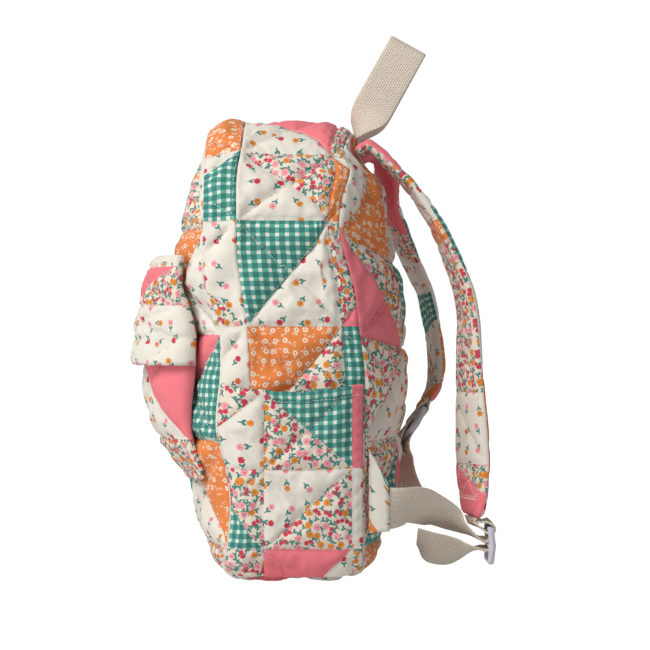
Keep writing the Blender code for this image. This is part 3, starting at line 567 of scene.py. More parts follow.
def orange_blossom(colours):
    """Orange cotton with white ring blossoms and small white dashes."""
    paper = Paper(PRINTS[ORANGE])
    place = paper.cloth_place()
    white = linear(250, 240, 222)
    x, y, pick = scatter(paper, place, 7.6 * MM, 5.2, 0.6)
    ring = blossom(paper, x, y, 1.95 * MM, 6, 0.12) - blossom(paper, x, y, 0.75 * MM, 1, 0)
    shown = paper.step(pick - 0.22, 0.01)
    rings = paper.math("MULTIPLY", ring, shown, clamp=True)
    colour = paper.mix(rings, tuple(colours.orange), white)
    for size, shift in ((5.0 * MM, 9.7), (5.8 * MM, 2.6)):
        x, y, pick = scatter(paper, place, size, shift, 1.0)
        dash = leaf(paper, x, y, (0, 0), (0.26 * MM, 1.1 * MM), 0, 0.2 * MM)
        twig = leaf(paper, x, y, (0.5 * MM, 0.4 * MM), (0.22 * MM, 0.7 * MM), -1.1, 0.2 * MM)
        colour = paper.mix(paper.either(dash, twig) * paper.step(pick - 0.3, 0.01) * 0.9, colour, white)
    return finish_cotton(paper, place, colour)


def plain_cotton(name, colour):
    paper = Paper(name)
    place = paper.cloth_place()
    patches = paper.noise(place, 60, 2)
    tone = paper.mix(patches * 0.2, colour, tuple(c * 0.86 for c in colour))
    return finish_cotton(paper, place, tone)


def woven_webbing(colours):
    """Undyed webbing with rows of small chevrons; its colour darkens with painted shade where the weave's
    rows and ribs sit low.
    """
    paper = Paper("woven_webbing")
    place = paper.cloth_place()
    u, v, _ = paper.parts(place)
    zigzag = paper.math("PINGPONG", u, WEB_RIB)
    rows = paper.math("SINE", (v + zigzag * 0.8) * (2 * math.pi / WEB_ROW))
    ribs = paper.math("COSINE", u * (2 * math.pi / WEB_RIB))
    slubs = paper.noise(place, 420, 2)
    height = rows * 0.5 + ribs * 0.3 + slubs * 0.3
    # Painted shade: the colour darkens where the weave's rows and ribs sit low; the slubs add real tone on
    # top.
    painted_groove_shade = paper.math("MULTIPLY_ADD", rows + ribs * 0.6, -0.13, 0.16, clamp=True)
    dark = tuple(c * 0.6 for c in colours.webbing)
    tone = paper.mix(painted_groove_shade + slubs * 0.1, tuple(colours.webbing), dark)
    bump = paper.node("Bump", None, Strength=0.9, Distance=0.5 * MM, Height=height)
    return paper.finish(
        Base_Color=tone, Normal=bump.outputs[0], Roughness=slubs * 0.1 + 0.78, Sheen_Weight=0.1
    )


def slider_plastic(colours):
    """Cloudy lavender plastic that lets some light through."""
    paper = Paper("cloudy_plastic")
    clouds = paper.noise(paper.object_place(), 140, 3)
    tone = paper.mix(clouds * 0.35, tuple(colours.slider), tuple(c * 0.88 for c in colours.slider))
    return paper.finish(
        Base_Color=tone, Roughness=clouds * 0.12 + 0.3, Subsurface_Weight=0.35, Subsurface_Scale=0.004
    )


def fuzzy(name, colour, fineness, share, dark, rough):
    """Plain thread or tape with darker fuzz in its colour."""
    paper = Paper(name)
    fuzz = paper.noise(paper.object_place(), fineness, 2)
    tone = paper.mix(fuzz * share, colour, tuple(c * dark for c in colour))
    return paper.finish(Base_Color=tone, Roughness=fuzz * 0.2 + rough)


def cloth_materials():
    """The prints in their order, made once."""
    if PRINTS[0] not in bpy.data.materials:
        colours = bpy.context.scene.backpack_colours
        for make in (cream_sprig, meadow_floral, teal_gingham, orange_blossom):
            make(colours)
        plain_cotton(PRINTS[PINK], tuple(colours.pink))
        plain_cotton(PRINTS[LINING], linear(226, 214, 190))
    return [bpy.data.materials[name] for name in PRINTS]


def one_material(name, make):
    return bpy.data.materials.get(name) or make(bpy.context.scene.backpack_colours)


def read(table, column, at, key="height"):
    """A column of a table at shares, on a smooth curve through its rows."""
    xs = np.array([getattr(row, key) for row in table], float)
    ys = np.array([getattr(row, column) for row in table], float)
    at = np.clip(np.asarray(at, float), xs[0], xs[-1])
    i = np.clip(np.searchsorted(xs, at) - 1, 0, len(xs) - 2)
    index = np.arange(len(xs))
    low = np.maximum(index - 1, 0)
    high = np.minimum(index + 1, len(xs) - 1)
    slopes = (ys[high] - ys[low]) / (xs[high] - xs[low])
    span = xs[i + 1] - xs[i]
    t = (at - xs[i]) / span
    first = (2 * t**3 - 3 * t**2 + 1) * ys[i] + (t**3 - 2 * t**2 + t) * span * slopes[i]
    last = (3 * t**2 - 2 * t**3) * ys[i + 1] + (t**3 - t**2) * span * slopes[i + 1]
    return first + last


def seam(name, z):
    """World y of a seam line at a height."""
    start = {"front": -FRONT_SEAM, "zip": -ZIP_LINE, "back": BACK_SEAM}[name]
    return start + SEAM_SHIFT * read(SEAMS, name, z / BAG_HEIGHT)


def depth(y, z):
    """World y of a depth on the strip round the bag: it follows the seams."""
    moved = MIDDLE + SEAM_SHIFT * MIDDLE_FOLLOWS * read(SEAMS, "back", z / BAG_HEIGHT)
    a = (y + FRONT_SEAM) / (FRONT_SEAM - ZIP_LINE)
    b = (y + ZIP_LINE) / (MIDDLE + ZIP_LINE)
    c = (y - MIDDLE) / (BACK_SEAM - MIDDLE)
    front = seam("front", z) * (1 - a) + seam("zip", z) * a
    middle = seam("zip", z) * (1 - b) + moved * b
    back = moved * (1 - c) + seam("back", z) * c
    return np.where(y <= -ZIP_LINE, front, np.where(y <= MIDDLE, middle, back))


def pinch(y, z):
    """How far the strip round the bag lies inside the full outline."""
    edge = np.minimum(y + FRONT_SEAM, BACK_SEAM - y) / PINCH_REACH
    dip = SEAM_PINCH * np.maximum(1 - edge, 0) ** 2
    strip = (y + FRONT_SEAM) / (FRONT_SEAM - ZIP_LINE)
    ridge = np.where((strip > 0) & (strip < 1), np.sin(math.pi * np.clip(strip, 0, 1)), 0)
    high = np.maximum(z / BAG_HEIGHT - RIDGE_START, 0) / (1 - RIDGE_START)
    return dip - FRONT_RIDGE * ridge * high


def ring_point(q, inset):
    """x and z on the bag's rounded outline, on the right. Along the side, q is the height."""
    turn = BOTTOM_RADIUS * (1 - math.pi / 2)
    low = np.clip((q - turn) / BOTTOM_RADIUS, 0, math.pi / 2)
    side = BAG_HEIGHT - SHOULDER_RADIUS
    high = np.clip((q - side) / SHOULDER_RADIUS, 0, math.pi / 2)
    end = side + SHOULDER_RADIUS * math.pi / 2
    low_x = HALF - BOTTOM_RADIUS + np.minimum(q - turn, 0) + (BOTTOM_RADIUS - inset) * np.sin(low)
    low_z = BOTTOM_RADIUS - (BOTTOM_RADIUS - inset) * np.cos(low) + np.clip(q - BOTTOM_RADIUS, 0, side)
    high_x = HALF - SHOULDER_RADIUS + (SHOULDER_RADIUS - inset) * np.cos(high) - np.maximum(q - end, 0)
    high_z = side + (SHOULDER_RADIUS - inset) * np.sin(high)
    upper = q > side
    return np.where(upper, high_x, low_x), np.where(upper, high_z, low_z)


RING_LOW = BOTTOM_RADIUS * (1 - math.pi / 2) - (HALF - BOTTOM_RADIUS)
RING_HIGH = BAG_HEIGHT - SHOULDER_RADIUS * (1 - math.pi / 2) + HALF - SHOULDER_RADIUS
NARROW_LINE = 38 * MM  # depth of the seam between the side's wide and narrow patches
STRETCH = (NARROW_LINE + ZIP_LINE) / PATCH


def strip_place(p, q, out):
    """A point of the strip round the bag, from its flat cloth coordinates, on the right side."""
    y = p * STRETCH - ZIP_LINE
    _, z = ring_point(q, np.zeros_like(q))
    x, z = ring_point(q, pinch(y, z) - out)
    return np.stack([x, depth(y, z), z], axis=-1)


def half_width(z):
    """Half the width of a panel at a height, inside its seam."""
    z = np.asarray(z, float)
    top = BAG_HEIGHT - SHOULDER_RADIUS
    high = np.clip(z - top, 0, SHOULDER_RADIUS - SEAM_PINCH)
    low = np.clip(BOTTOM_RADIUS - z, 0, BOTTOM_RADIUS - SEAM_PINCH)
    upper = HALF - SHOULDER_RADIUS + np.sqrt((SHOULDER_RADIUS - SEAM_PINCH) ** 2 - high**2)
    lower = HALF - BOTTOM_RADIUS + np.sqrt((BOTTOM_RADIUS - SEAM_PINCH) ** 2 - low**2)
    return np.where(z > top, upper, np.where(z < BOTTOM_RADIUS, lower, HALF - SEAM_PINCH))


def crown(x, z):
    """How a panel's bulge falls to its side seams."""
    share = np.clip(np.abs(x) / np.maximum(half_width(z), 1 * MM), 0, 1)
    return np.maximum(1 - share**CROWN_FALL, 0) ** CROWN_EDGE


def front_y(x, z):
    return seam("front", z) - FRONT_BULGE * read(BULGES, "front", z / BAG_HEIGHT) * crown(x, z)


def back_y(x, z):
    return seam("back", z) + BACK_BULGE * read(BULGES, "back", z / BAG_HEIGHT) * crown(x, z)


def front_place(x, z, out):
    return np.stack([x, front_y(x, z) - out, z], axis=-1)


def back_place(x, z, out):
    share = z / BAG_HEIGHT
    rising = np.clip((share - SAG_FROM) / SAG_GROWS, 0, 1)
    falling = np.clip((1 - share) / SAG_ENDS, 0, 1)
    sag = BACK_SAG * rising**2 * (3 - 2 * rising) * falling**2 * (3 - 2 * falling)
    z = z - sag * crown(x, z)
    puff = np.exp(-(((share - BACK_PUFF_AT) / BACK_PUFF_SPREAD) ** 2))
    out = out + BACK_PUFF * puff * crown(x, z)
    return np.stack([x, back_y(x, z) + out, z], axis=-1)


def panel_mould(x, z):
    """Rounds a flat rectangle of the bag's size to the panel inside its seam."""
    x = x * (HALF - SEAM_PINCH) / HALF
    z = SEAM_PINCH + z * (BAG_HEIGHT - 2 * SEAM_PINCH) / BAG_HEIGHT
    high = z > BAG_HEIGHT / 2
    radius = np.where(high, SHOULDER_RADIUS, BOTTOM_RADIUS) - SEAM_PINCH
    centre_x = HALF - SEAM_PINCH - radius
    centre_z = np.where(high, BAG_HEIGHT - SHOULDER_RADIUS, BOTTOM_RADIUS)
    a = (np.abs(x) - centre_x) / radius
    b = np.where(high, z - centre_z, centre_z - z) / radius
    corner = (a > 0) & (b > 0)
    round_a = a * np.sqrt(np.maximum(1 - b * b / 2, 0))
    round_b = b * np.sqrt(np.maximum(1 - a * a / 2, 0))
    x = np.where(corner, np.copysign(centre_x + radius * round_a, x), x)
    z = np.where(corner, centre_z + radius * round_b * np.where(high, 1, -1), z)
    return x, z


def edge_rise(gap, reach):
    t = np.clip(gap / reach, 0, 1)
    return np.sqrt(1 - (1 - t) ** 2)


def pocket_place(x, z, out):
    share = (z - POCKET_BOTTOM) / (POCKET_TOP - POCKET_BOTTOM)
    sides = edge_rise(POCKET_WIDTH / 2 - np.abs(x), POCKET_WIDTH * POCKET_SIDE)
    lift = POCKET_BULGE * read(POCKET_LIFTS, "share", share) * sides
    y = front_y(x, z) - GAP - lift - POCKET_WALL - out * np.clip(lift / FULL_RELIEF_LIFT, 0, 1)
    return np.stack([x, y, z], axis=-1)


def flap_place(x, z, out):
    share = (z - FLAP_BOTTOM) / (FLAP_TOP - FLAP_BOTTOM)
    half = POCKET_WIDTH / 2 + FLAP_MARGIN
    sides = edge_rise(half - np.abs(x), POCKET_WIDTH * POCKET_SIDE)
    lift = (POCKET_BULGE * read(FLAP_LIFTS, "share", share) + FLAP_LIFT + FLAP_PUFF) * sides
    y = front_y(x, z) - GAP - lift - FLAP_WALL - out * np.clip(lift / FULL_RELIEF_LIFT, 0, 1)
    return np.stack([x, y, z], axis=-1)


def side_pocket_place(p, q, out):
    y = p * STRETCH - ZIP_LINE
    t = np.clip((y + FRONT_SEAM) / (FRONT_SEAM + BACK_SEAM), 0, 1)
    top = SIDE_POCKET_TOP - SIDE_POCKET_DIP * np.sin(math.pi * t)
    fixed = SIDE_POCKET_TOP - PATCH
    q = np.where(q > fixed, fixed + (q - fixed) * (top - fixed) / (SIDE_POCKET_TOP - fixed), q)
    share = np.clip((q - SIDE_POCKET_BOTTOM) / (SIDE_POCKET_TOP - SIDE_POCKET_BOTTOM), 0, 1)
    slack = SIDE_POCKET_MOUTH * np.sin(math.pi * t) ** CROWN_EDGE * share**SLACK_RISE
    _, z = ring_point(q, np.zeros_like(q))
    x, z = ring_point(q, pinch(y, z) - GAP - slack - SIDE_POCKET_WALL - out * np.sin(math.pi * t) ** 0.5)
    return np.stack([x, depth(y, z), z], axis=-1)


# A flat cloth: its name, how it is laid, its reach, the seams of its patches and their prints.
Cloth = namedtuple("Cloth", "name place left right low high columns rows chart")


def ticks(low, high, start, step):
    """Grid lines at whole steps from a start, and both ends."""
    first = math.ceil((low + step * 0.4 - start) / step)
    last = math.floor((high - step * 0.4 - start) / step)
    return [low] + [start + k * step for k in range(first, last + 1)] + [high]


def cell_of(cloth, a, b):
    column = np.clip(np.searchsorted(cloth.columns, a) - 1, 0, len(cloth.columns) - 2)
    row = np.clip(np.searchsorted(cloth.rows, b) - 1, 0, len(cloth.rows) - 2)
    return column, row


def cell_share(cloth, a, b):
    """Where points lie in their patch, from 0 to 1 each way, and the patch's size."""
    columns = np.array(cloth.columns)
    rows = np.array(cloth.rows)
    column, row = cell_of(cloth, a, b)
    width = columns[column + 1] - columns[column]
    height = rows[row + 1] - rows[row]
    return (a - columns[column]) / width, (b - rows[row]) / height, width, height


def line_distance(cloth, a, b):
    """Distance to the nearest sewn line: both diagonals of each patch, and its sides."""
    s, t, width, height = cell_share(cloth, a, b)
    scale = width * height / np.sqrt(width**2 + height**2)
    diagonals = np.minimum(np.abs(s - t), np.abs(s + t - 1)) * scale
    sides = np.minimum(np.minimum(s, 1 - s) * width, np.minimum(t, 1 - t) * height)
    return diagonals, sides


def puckers(cloth, a, b):
    """Short folds that run out from the sewn lines, 0 to 1."""
    diagonals, sides = line_distance(cloth, a, b)
    phase = (a + b) * (2 * math.pi / PUCKER_PITCH) + 2.3 * np.sin(a * 61) + 1.7 * np.sin(b * 47)
    waves = 0.5 + 0.5 * np.sin(phase)
    return waves * np.exp(-np.minimum(diagonals, sides) / PUCKER_REACH)


def edge_distance(cloth, a, b):
    sides = np.minimum(a - cloth.left, cloth.right - a)
    ends = np.minimum(b - cloth.low, cloth.high - b)
    return np.minimum(sides, ends)


def pillow(distances, tight=1.0):
    """The quilt's height between its lines, from 0 to 1: a tight crease under a soft dome."""
    diagonals, sides = (d * tight for d in distances)
    dome = 1 - (1 - np.clip(np.minimum(diagonals, sides) / PUFF_REACH, 0, 1)) ** 2
    crease = 1 - np.exp(-diagonals / CREASE_WIDTH)
    seam_crease = 1 - 0.8 * np.exp(-sides / SEAM_CREASE_WIDTH)
    return 0.55 * np.minimum(crease, seam_crease) + 0.45 * dome


def uneven(a, b):
    """Slow unevenness of stuffed cloth, about -1 to 1."""
    one = np.sin(a * 71 + 1.3 * np.sin(b * 37)) * np.sin(b * 83 + 0.7)
    two = np.sin(a * 167 + b * 121 + 2.1) * np.sin(b * 143 - a * 59)
    return 0.65 * one + 0.35 * two


def prints_for(cloth, faces):
    """The print of each face, from its middle."""
    middles = np.array([f.calc_center_median()[:2] for f in faces])
    column, row = cell_of(cloth, middles[:, 0], middles[:, 1])
    s, t, _, _ = cell_share(cloth, middles[:, 0], middles[:, 1])
    found = []
    for i in range(len(faces)):
        spot = cloth.chart.get((int(column[i]), int(row[i])), patch("C"))
        above = t[i] > s[i] if spot.lean == "/" else t[i] > 1 - s[i]
        found.append(spot.upper if above else spot.lower)
    return found


def cut_cloth(cloth, step, mould=None):
    """A flat cloth as a bmesh, with edges along its seams and quilting lines, its prints and its UVs."""
    across = ticks(cloth.left, cloth.right, cloth.columns[0], step)
    up = ticks(cloth.low, cloth.high, cloth.rows[0], step)
    bm = bmesh.new()
    bmesh.ops.create_grid(bm, x_segments=len(across) - 1, y_segments=len(up) - 1, size=0.5)
    for v in bm.verts:
        i = round((v.co.x + 0.5) * (len(across) - 1))
        j = round((v.co.y + 0.5) * (len(up) - 1))
        v.co = (across[i], up[j], 0)
    if mould:
        flat = np.array([v.co[:2] for v in bm.verts])
        xs, ys = mould(flat[:, 0], flat[:, 1])
        for v, x, y in zip(bm.verts, xs, ys):
            v.co = (x, y, 0)
    near = step * 0.12
    columns = [a for a in cloth.columns if cloth.left < a < cloth.right]
    rows = [b for b in cloth.rows if cloth.low < b < cloth.high]
    planes = [(Vector((a, 0, 0)), Vector((1, 0, 0))) for a in columns]
    planes += [(Vector((0, b, 0)), Vector((0, 1, 0))) for b in rows]
    for place, normal in planes:
        everything = bm.verts[:] + bm.edges[:] + bm.faces[:]
        bmesh.ops.bisect_plane(bm, geom=everything, plane_co=place, plane_no=normal, dist=near)
    for lean in (1, -1):
        faces = bm.faces[:]
        middles = np.array([f.calc_center_median()[:2] for f in faces])
        column, row = cell_of(cloth, middles[:, 0], middles[:, 1])
        cells = {}
        for f, i, j in zip(faces, column, row):
            cells.setdefault((int(i), int(j)), []).append(f)
        for (i, j), members in cells.items():
            width = cloth.columns[i + 1] - cloth.columns[i]
            height = cloth.rows[j + 1] - cloth.rows[j]
            corner = Vector((cloth.columns[i], cloth.rows[j] + (0 if lean > 0 else height), 0))
            normal = Vector((height, -lean * width, 0)).normalized()
            geometry = set(members)
            for f in members:
                geometry.update(f.edges)
                geometry.update(f.verts)
            bmesh.ops.bisect_plane(bm, geom=list(geometry), plane_co=corner, plane_no=normal, dist=near)
    layer = bm.loops.layers.uv.new("cloth")
    for f, kind in zip(bm.faces, prints_for(cloth, bm.faces[:])):
        f.material_index = kind
        f.smooth = True
        for loop in f.loops:
            loop[layer].uv = loop.vert.co.xy
    return bm


def new_object(name, data):
    """A new object in the scene."""
    made = bpy.data.objects.new(name, data)
    bpy.context.scene.collection.objects.link(made)
    return made


def add(name, bm, materials, body="root"):
    """Makes a bmesh a named piece of the backpack that rides on a body."""
    mesh = bpy.data.meshes.new(name)
    bm.to_mesh(mesh)
    bm.free()
    made = new_object(name, mesh)
    for material in materials:
        mesh.materials.append(material)
    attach(made, body)
    return made


def coordinates(mesh):
    flat = np.empty(len(mesh.vertices) * 3)
    mesh.vertices.foreach_get("co", flat)
    return flat.reshape(-1, 3)


def move_to(mesh, places):
    mesh.vertices.foreach_set("co", np.ascontiguousarray(places, dtype=np.float64).ravel())
    mesh.update()


def stuff(made, sewn, rise):
    """Blows the cloth up between its sewn points with a short simulation, and keeps the result."""
    settings = bpy.context.scene.backpack_cloth
    start = coordinates(made.data)
    group = made.vertex_groups.new(name="sewn")
    group.add([int(i) for i in np.flatnonzero(sewn)], 1.0, "REPLACE")
    cloth = made.modifiers.new("stuffing", "CLOTH")
    physics = cloth.settings
    for key, value in STUFFING.items():
        setattr(physics, key, value)
    physics.shrink_min = -settings.slack
    physics.shrink_max = -settings.slack
    physics.uniform_pressure_force = settings.pressure
    physics.effector_weights.gravity = 0
    cloth.collision_settings.use_collision = False
    cloth.point_cache.frame_start = 1
    cloth.point_cache.frame_end = settings.frames
    scene = bpy.context.scene
    for number in range(1, settings.frames + 1):
        scene.frame_set(number)
    evaluated = made.evaluated_get(bpy.context.evaluated_depsgraph_get())
    moved = coordinates(evaluated.to_mesh())
    evaluated.to_mesh_clear()
    made.modifiers.remove(cloth)
    made.vertex_groups.clear()
    scene.frame_set(1)
    step = moved - start
    size = np.linalg.norm(step, axis=1, keepdims=True)
    allowed = rise * np.tanh(size / rise)
    move_to(made.data, start + step * np.where(size > 0, allowed / np.maximum(size, 1e-9), 0))


def stretch_print(cloth, bm):
    """Spreads the print by the cloth's real length along its middle row and column."""
    layer = bm.loops.layers.uv["cloth"]
    tables = []
    ends = ((cloth.left, cloth.right), (cloth.low, cloth.high))
    for k, (first, last) in enumerate(ends):
        steps = np.linspace(first, last, 200)
        other = np.full(200, sum(ends[1 - k]) / 2)
        where = (steps, other) if k == 0 else (other, steps)
        spots = cloth.place(*where, np.zeros(200))
        lengths = np.concatenate([[0], np.cumsum(np.linalg.norm(np.diff(spots, axis=0), axis=1))])
        middle = np.interp(sum(ends[k]) / 2, steps, lengths)
        tables.append((steps, lengths - middle + sum(ends[k]) / 2))
    for f in bm.faces:
        for loop in f.loops:
            u, v = loop[layer].uv
            loop[layer].uv = (np.interp(u, *tables[0]), np.interp(v, *tables[1]))


def lay(cloth, mould=None, quilt=QUILT_RELIEF, flip=False, mirror=False):
    """Cuts a cloth, lays it in its place, quilts and stuffs it."""
    settings = bpy.context.scene.backpack_cloth
    bm = cut_cloth(cloth, settings.step, mould)
    if flip:
        bmesh.ops.reverse_faces(bm, faces=bm.faces)
    stretch_print(cloth, bm)
    made = add(cloth.name, bm, cloth_materials())
    flat = coordinates(made.data)
    a = flat[:, 0]
    b = flat[:, 1]
    edge = edge_distance(cloth, a, b) if mould is None else rim_distance(a, b)
    relief = pillow(line_distance(cloth, a, b)) - 1
    out = quilt * relief * np.clip(edge / QUILT_FADE, 0, 1)
    out = out + UNEVENNESS * uneven(a, b) * np.clip(edge / UNEVEN_FADE, 0, 1)
    out = out + PUCKER_HEIGHT * (puckers(cloth, a, b) - 0.2) * np.clip(edge / PUCKER_FADE, 0, 1)
    move_to(made.data, cloth.place(a, b, out))
    diagonals, sides = line_distance(cloth, a, b)
    sewn = (diagonals < SEWN_DIAGONAL) | (sides < SEWN_SIDE) | (edge < SEWN_EDGE)
    stuff(made, sewn, settings.rise)
    places = coordinates(made.data)
    places[:, 2] = np.maximum(places[:, 2], REST)
    move_to(made.data, places)
    if mirror:
        mirror_copy(made)
    return made


def rim_distance(x, z):
    """Distance of a panel's flat point from its rounded rim."""
    sides = half_width(z) - np.abs(x)
    ends = np.minimum(z - SEAM_PINCH, BAG_HEIGHT - SEAM_PINCH - z)
    return np.minimum(sides, ends)


def mirror_copy(made):
    """Adds the left half of a piece that was laid on the right, joined in the middle."""
    bm = bmesh.new()
    bm.from_mesh(made.data)
    everything = bm.verts[:] + bm.edges[:] + bm.faces[:]
    bmesh.ops.mirror(bm, geom=everything, matrix=Matrix(), merge_dist=0.6 * MM, axis="X")
    bmesh.ops.reverse_faces(bm, faces=[f for f in bm.faces if f.calc_center_median().x < 0])
    bm.to_mesh(made.data)
    bm.free()
    made.data.update()


def wall(made, thickness, lined=True):
    """Gives a laid cloth its padded wall, with its lining inside."""
    solidify = made.modifiers.new("wall", "SOLIDIFY")
    solidify.thickness = thickness
    solidify.offset = -1
    if lined:
        solidify.material_offset = len(PRINTS)
    return made


PANEL_COLUMNS = [a * MM for a in (-187.5, -112.5, -37.5, 37.5, 112.5, 187.5)]
PANEL_ROWS = [b * MM for b in (-50, 25, 100, 175, 250, 325, 400)]
STRIP_COLUMNS = [-PATCH, 0.0, PATCH, 2 * PATCH]
STRIP_ROWS = [b * MM for b in (-119, -44, 31, 106, 181, 256, 314, 389, 464)]

FRONT_CHART = chart(r"O/C P/M M; M/C C\G C\M; C\G O/M O/C; P/M C/P P/G; C\O G\C O\C; M C M/C", 1)
BACK_CHART = chart(r"M C C; C/P M/C C\O; O\M G\C M/P; C/G O/M M\C; P\C C/P M\G; M C O/C", 1)
STRIP_CHART = chart(r"O P M; O P\C M; C/G M\C C\O; C\M G/C M/P; C O/M G; M/C C/M M/C; C P/C C; M C M")
POUCH_CHART = chart(r"O C P; P/C C\G P\C; M M/C M")
FLAP_CHART = chart(r"C C C; G C/P P/M; P\C M/C C; C/M C\O C")
SIDE_POCKET_CHART = chart(r"M/C G\M P; M\G C/M C; M P/C M")

STRIP_LEFT = (-FRONT_SEAM + ZIP_LINE) / STRETCH
STRIP_RIGHT = (BACK_SEAM + ZIP_LINE) / STRETCH
LAP = 0.3 * MM
PANEL_PATCHES = (-HALF, HALF, 0.0, BAG_HEIGHT, PANEL_COLUMNS, PANEL_ROWS)
FRONT_PANEL = Cloth("front_panel_quilt", front_place, *PANEL_PATCHES, FRONT_CHART)
BACK_PANEL = Cloth("back_panel_quilt", back_place, *PANEL_PATCHES, BACK_CHART)
STRIP_PATCHES = (RING_LOW, RING_HIGH, STRIP_COLUMNS, STRIP_ROWS, STRIP_CHART)
FRONT_STRIP = Cloth("front_strip_quilt", strip_place, STRIP_LEFT, -LAP, *STRIP_PATCHES)
SIDE_STRIP = Cloth("side_strip_quilt", strip_place, LAP, STRIP_RIGHT, *STRIP_PATCHES)
POUCH = Cloth(
    "front_pocket_pouch", pocket_place, -POCKET_WIDTH / 2, POCKET_WIDTH / 2, POCKET_BOTTOM, POCKET_TOP,
    [a * MM for a in (-136, -61, 14, 89)], [b * MM for b in (25, 100, 175, 250)], POUCH_CHART,
)
FLAP = Cloth(
    "pocket_flap_quilt", flap_place, -POCKET_WIDTH / 2 - FLAP_MARGIN, POCKET_WIDTH / 2 + FLAP_MARGIN,
    FLAP_BOTTOM, FLAP_TOP, [a * MM for a in (-130, -55, 20, 95)],
    [b * MM for b in (121, 172, 196, 224, 275)], FLAP_CHART,
)
SIDE_POCKET = Cloth(
    "side_pocket_quilt", side_pocket_place, STRIP_LEFT + SEAM_ROOM, STRIP_RIGHT - SEAM_ROOM,
    4.2 * MM, SIDE_POCKET_TOP, [a * MM for a in (-52, 11, 80.6, 150)],
    [b * MM for b in (-37, 25, 82, 141.5)], SIDE_POCKET_CHART,
)


def curve_points(points, step):
    """Points at even steps along a smooth curve through the given ones."""
    fine = []
    for i in range(len(points) - 1):
        before = points[max(i - 1, 0)]
        after = points[min(i + 2, len(points) - 1)]
        parts = 12
        for k in range(parts + (i == len(points) - 2)):
            t = k / parts
            value = []
            for a, b, c, d in zip(before, points[i], points[i + 1], after):
                first = (2 * t**3 - 3 * t**2 + 1) * b + (t**3 - 2 * t**2 + t) * (c - a) / 2
                last = (3 * t**2 - 2 * t**3) * c + (t**3 - t**2) * (d - b) / 2
                value.append(first + last)
            fine.append(value)
    lengths = [0.0]
    for a, b in zip(fine, fine[1:]):
        lengths.append(lengths[-1] + (Vector(b[:3]) - Vector(a[:3])).length)
    count = max(round(lengths[-1] / step), 2)
    even = []
    i = 0
    for k in range(count + 1):
        target = lengths[-1] * k / count
        while i < len(lengths) - 2 and lengths[i + 1] < target:
            i += 1
        span = lengths[i + 1] - lengths[i]
        t = (target - lengths[i]) / span if span > 0 else 0
        even.append([a + (b - a) * t for a, b in zip(fine[i], fine[i + 1])])
    return even


def tangents(points):
    places = [Vector(p[:3]) for p in points]
    result = []
    for i in range(len(places)):
        before = places[max(i - 1, 0)]
        after = places[min(i + 1, len(places) - 1)]
        result.append((after - before).normalized())
    return result


def strap_frames(side):
    """Middles, across and outward directions at steps along a shoulder strap."""
    start = STRAP_STARTS[side]
    end = STRAP_ENDS[side]
    points = []
    for row in STRAPS[side]:
        x = start.x + (end.x - start.x) * row.move
        y = start.y + (end.y - start.y) * row.reach
        z = start.z + (end.z - start.z) * row.drop
        points.append((x, y, z, row.turn))
    stations = curve_points(points, PATCH / 6)
    frames = []
    for here, along in zip(stations, tangents(stations)):
        across = (Vector((1, 0, 0)) - along * along.x).normalized()
        across = Matrix.Rotation(math.radians(here[3]), 3, along * -1) @ across
        frames.append((Vector(here[:3]), across, along.cross(across)))
    return frames


def strap_place(side, face):
    """Lays flat cloth on a strap's outer face (1) or inner face (-1)."""
    frames = strap_frames(side)
    table = np.array([[*c, *a, *o] for c, a, o in frames])
    steps = np.linalg.norm(np.diff(table[:, :3], axis=0), axis=1)
    lengths = np.concatenate([[0], np.cumsum(steps)])
    total = lengths[-1]

    def place(a, b, out):
        values = np.stack([np.interp(b, lengths, table[:, k]) for k in range(9)], axis=-1)
        half = STRAP_WIDTH / 2
        tip = np.clip((total - b) / STRAP_TIP, 0, 1)
        narrow = 0.72 + 0.28 * np.sqrt(1 - (1 - tip) ** 2)
        ends = np.sqrt(1 - (1 - np.clip(np.minimum(b, total - b) / STRAP_END, 0, 1)) ** 2)
        share = np.clip(np.abs(a) / half, 0, 1)
        round_edge = np.sqrt(np.maximum(1 - share**5, 0))
        height = (STRAP_THICKNESS / 2 + out) * round_edge * np.maximum(ends, 0.12)
        height = np.where(share > 0.999, 0, height)
        middle = values[:, :3] + values[:, 3:6] * (a * narrow)[:, None]
        return middle + values[:, 6:9] * (face * height)[:, None]

    return place, total


def strap_cloth(side, face):
    """One face of a strap as a flat cloth with its patches."""
    place, total = strap_place(side, face)
    if face < 0:
        word = "outer"
        rows = (-10, 40, 62, 74, 127, 200, 252, 274, 340)
        kinds = "P M C C/G M/C C/O M/P M"
    else:
        word = "inner"
        right = ((-10, 56, 84, 100, 160, 213, 265, 287, 340), "M C O M M C P/M P")
        left = ((-10, 50, 96, 130, 164, 194, 258, 340), "P P M C G M/C O")
        rows, kinds = right if side > 0 else left
    rows = [row * MM for row in rows]
    half = STRAP_WIDTH / 2
    patches = {(0, k): patch(kind) for k, kind in enumerate(kinds.split())}
    return Cloth(f"strap_{word}", place, -half, half, 0.0, total, [-half, half], rows, patches)


def two_faces(clothes, step, weld, puff):
    """A closed piece from two faces of cloth, joined at their edges."""
    whole = bmesh.new()
    for cloth in clothes:
        bm = cut_cloth(cloth, step)
        flat = np.array([v.co[:2] for v in bm.verts])
        a = flat[:, 0]
        b = flat[:, 1]
        for v, p in zip(bm.verts, cloth.place(a, b, puff(cloth, a, b))):
            v.co = p
        part = bpy.data.meshes.new("part")
        bm.to_mesh(part)
        bm.free()
        whole.from_mesh(part)
        bpy.data.meshes.remove(part)
    bmesh.ops.remove_doubles(whole, verts=whole.verts, dist=weld)
    bmesh.ops.holes_fill(whole, edges=[e for e in whole.edges if e.is_boundary], sides=0)
    bmesh.ops.recalc_face_normals(whole, faces=whole.faces)
    return whole


def strap_puff(cloth, a, b):
    return STRAP_RELIEF * (pillow(line_distance(cloth, a, b), 1.6) - 1) + 0.5 * MM * uneven(a, b)


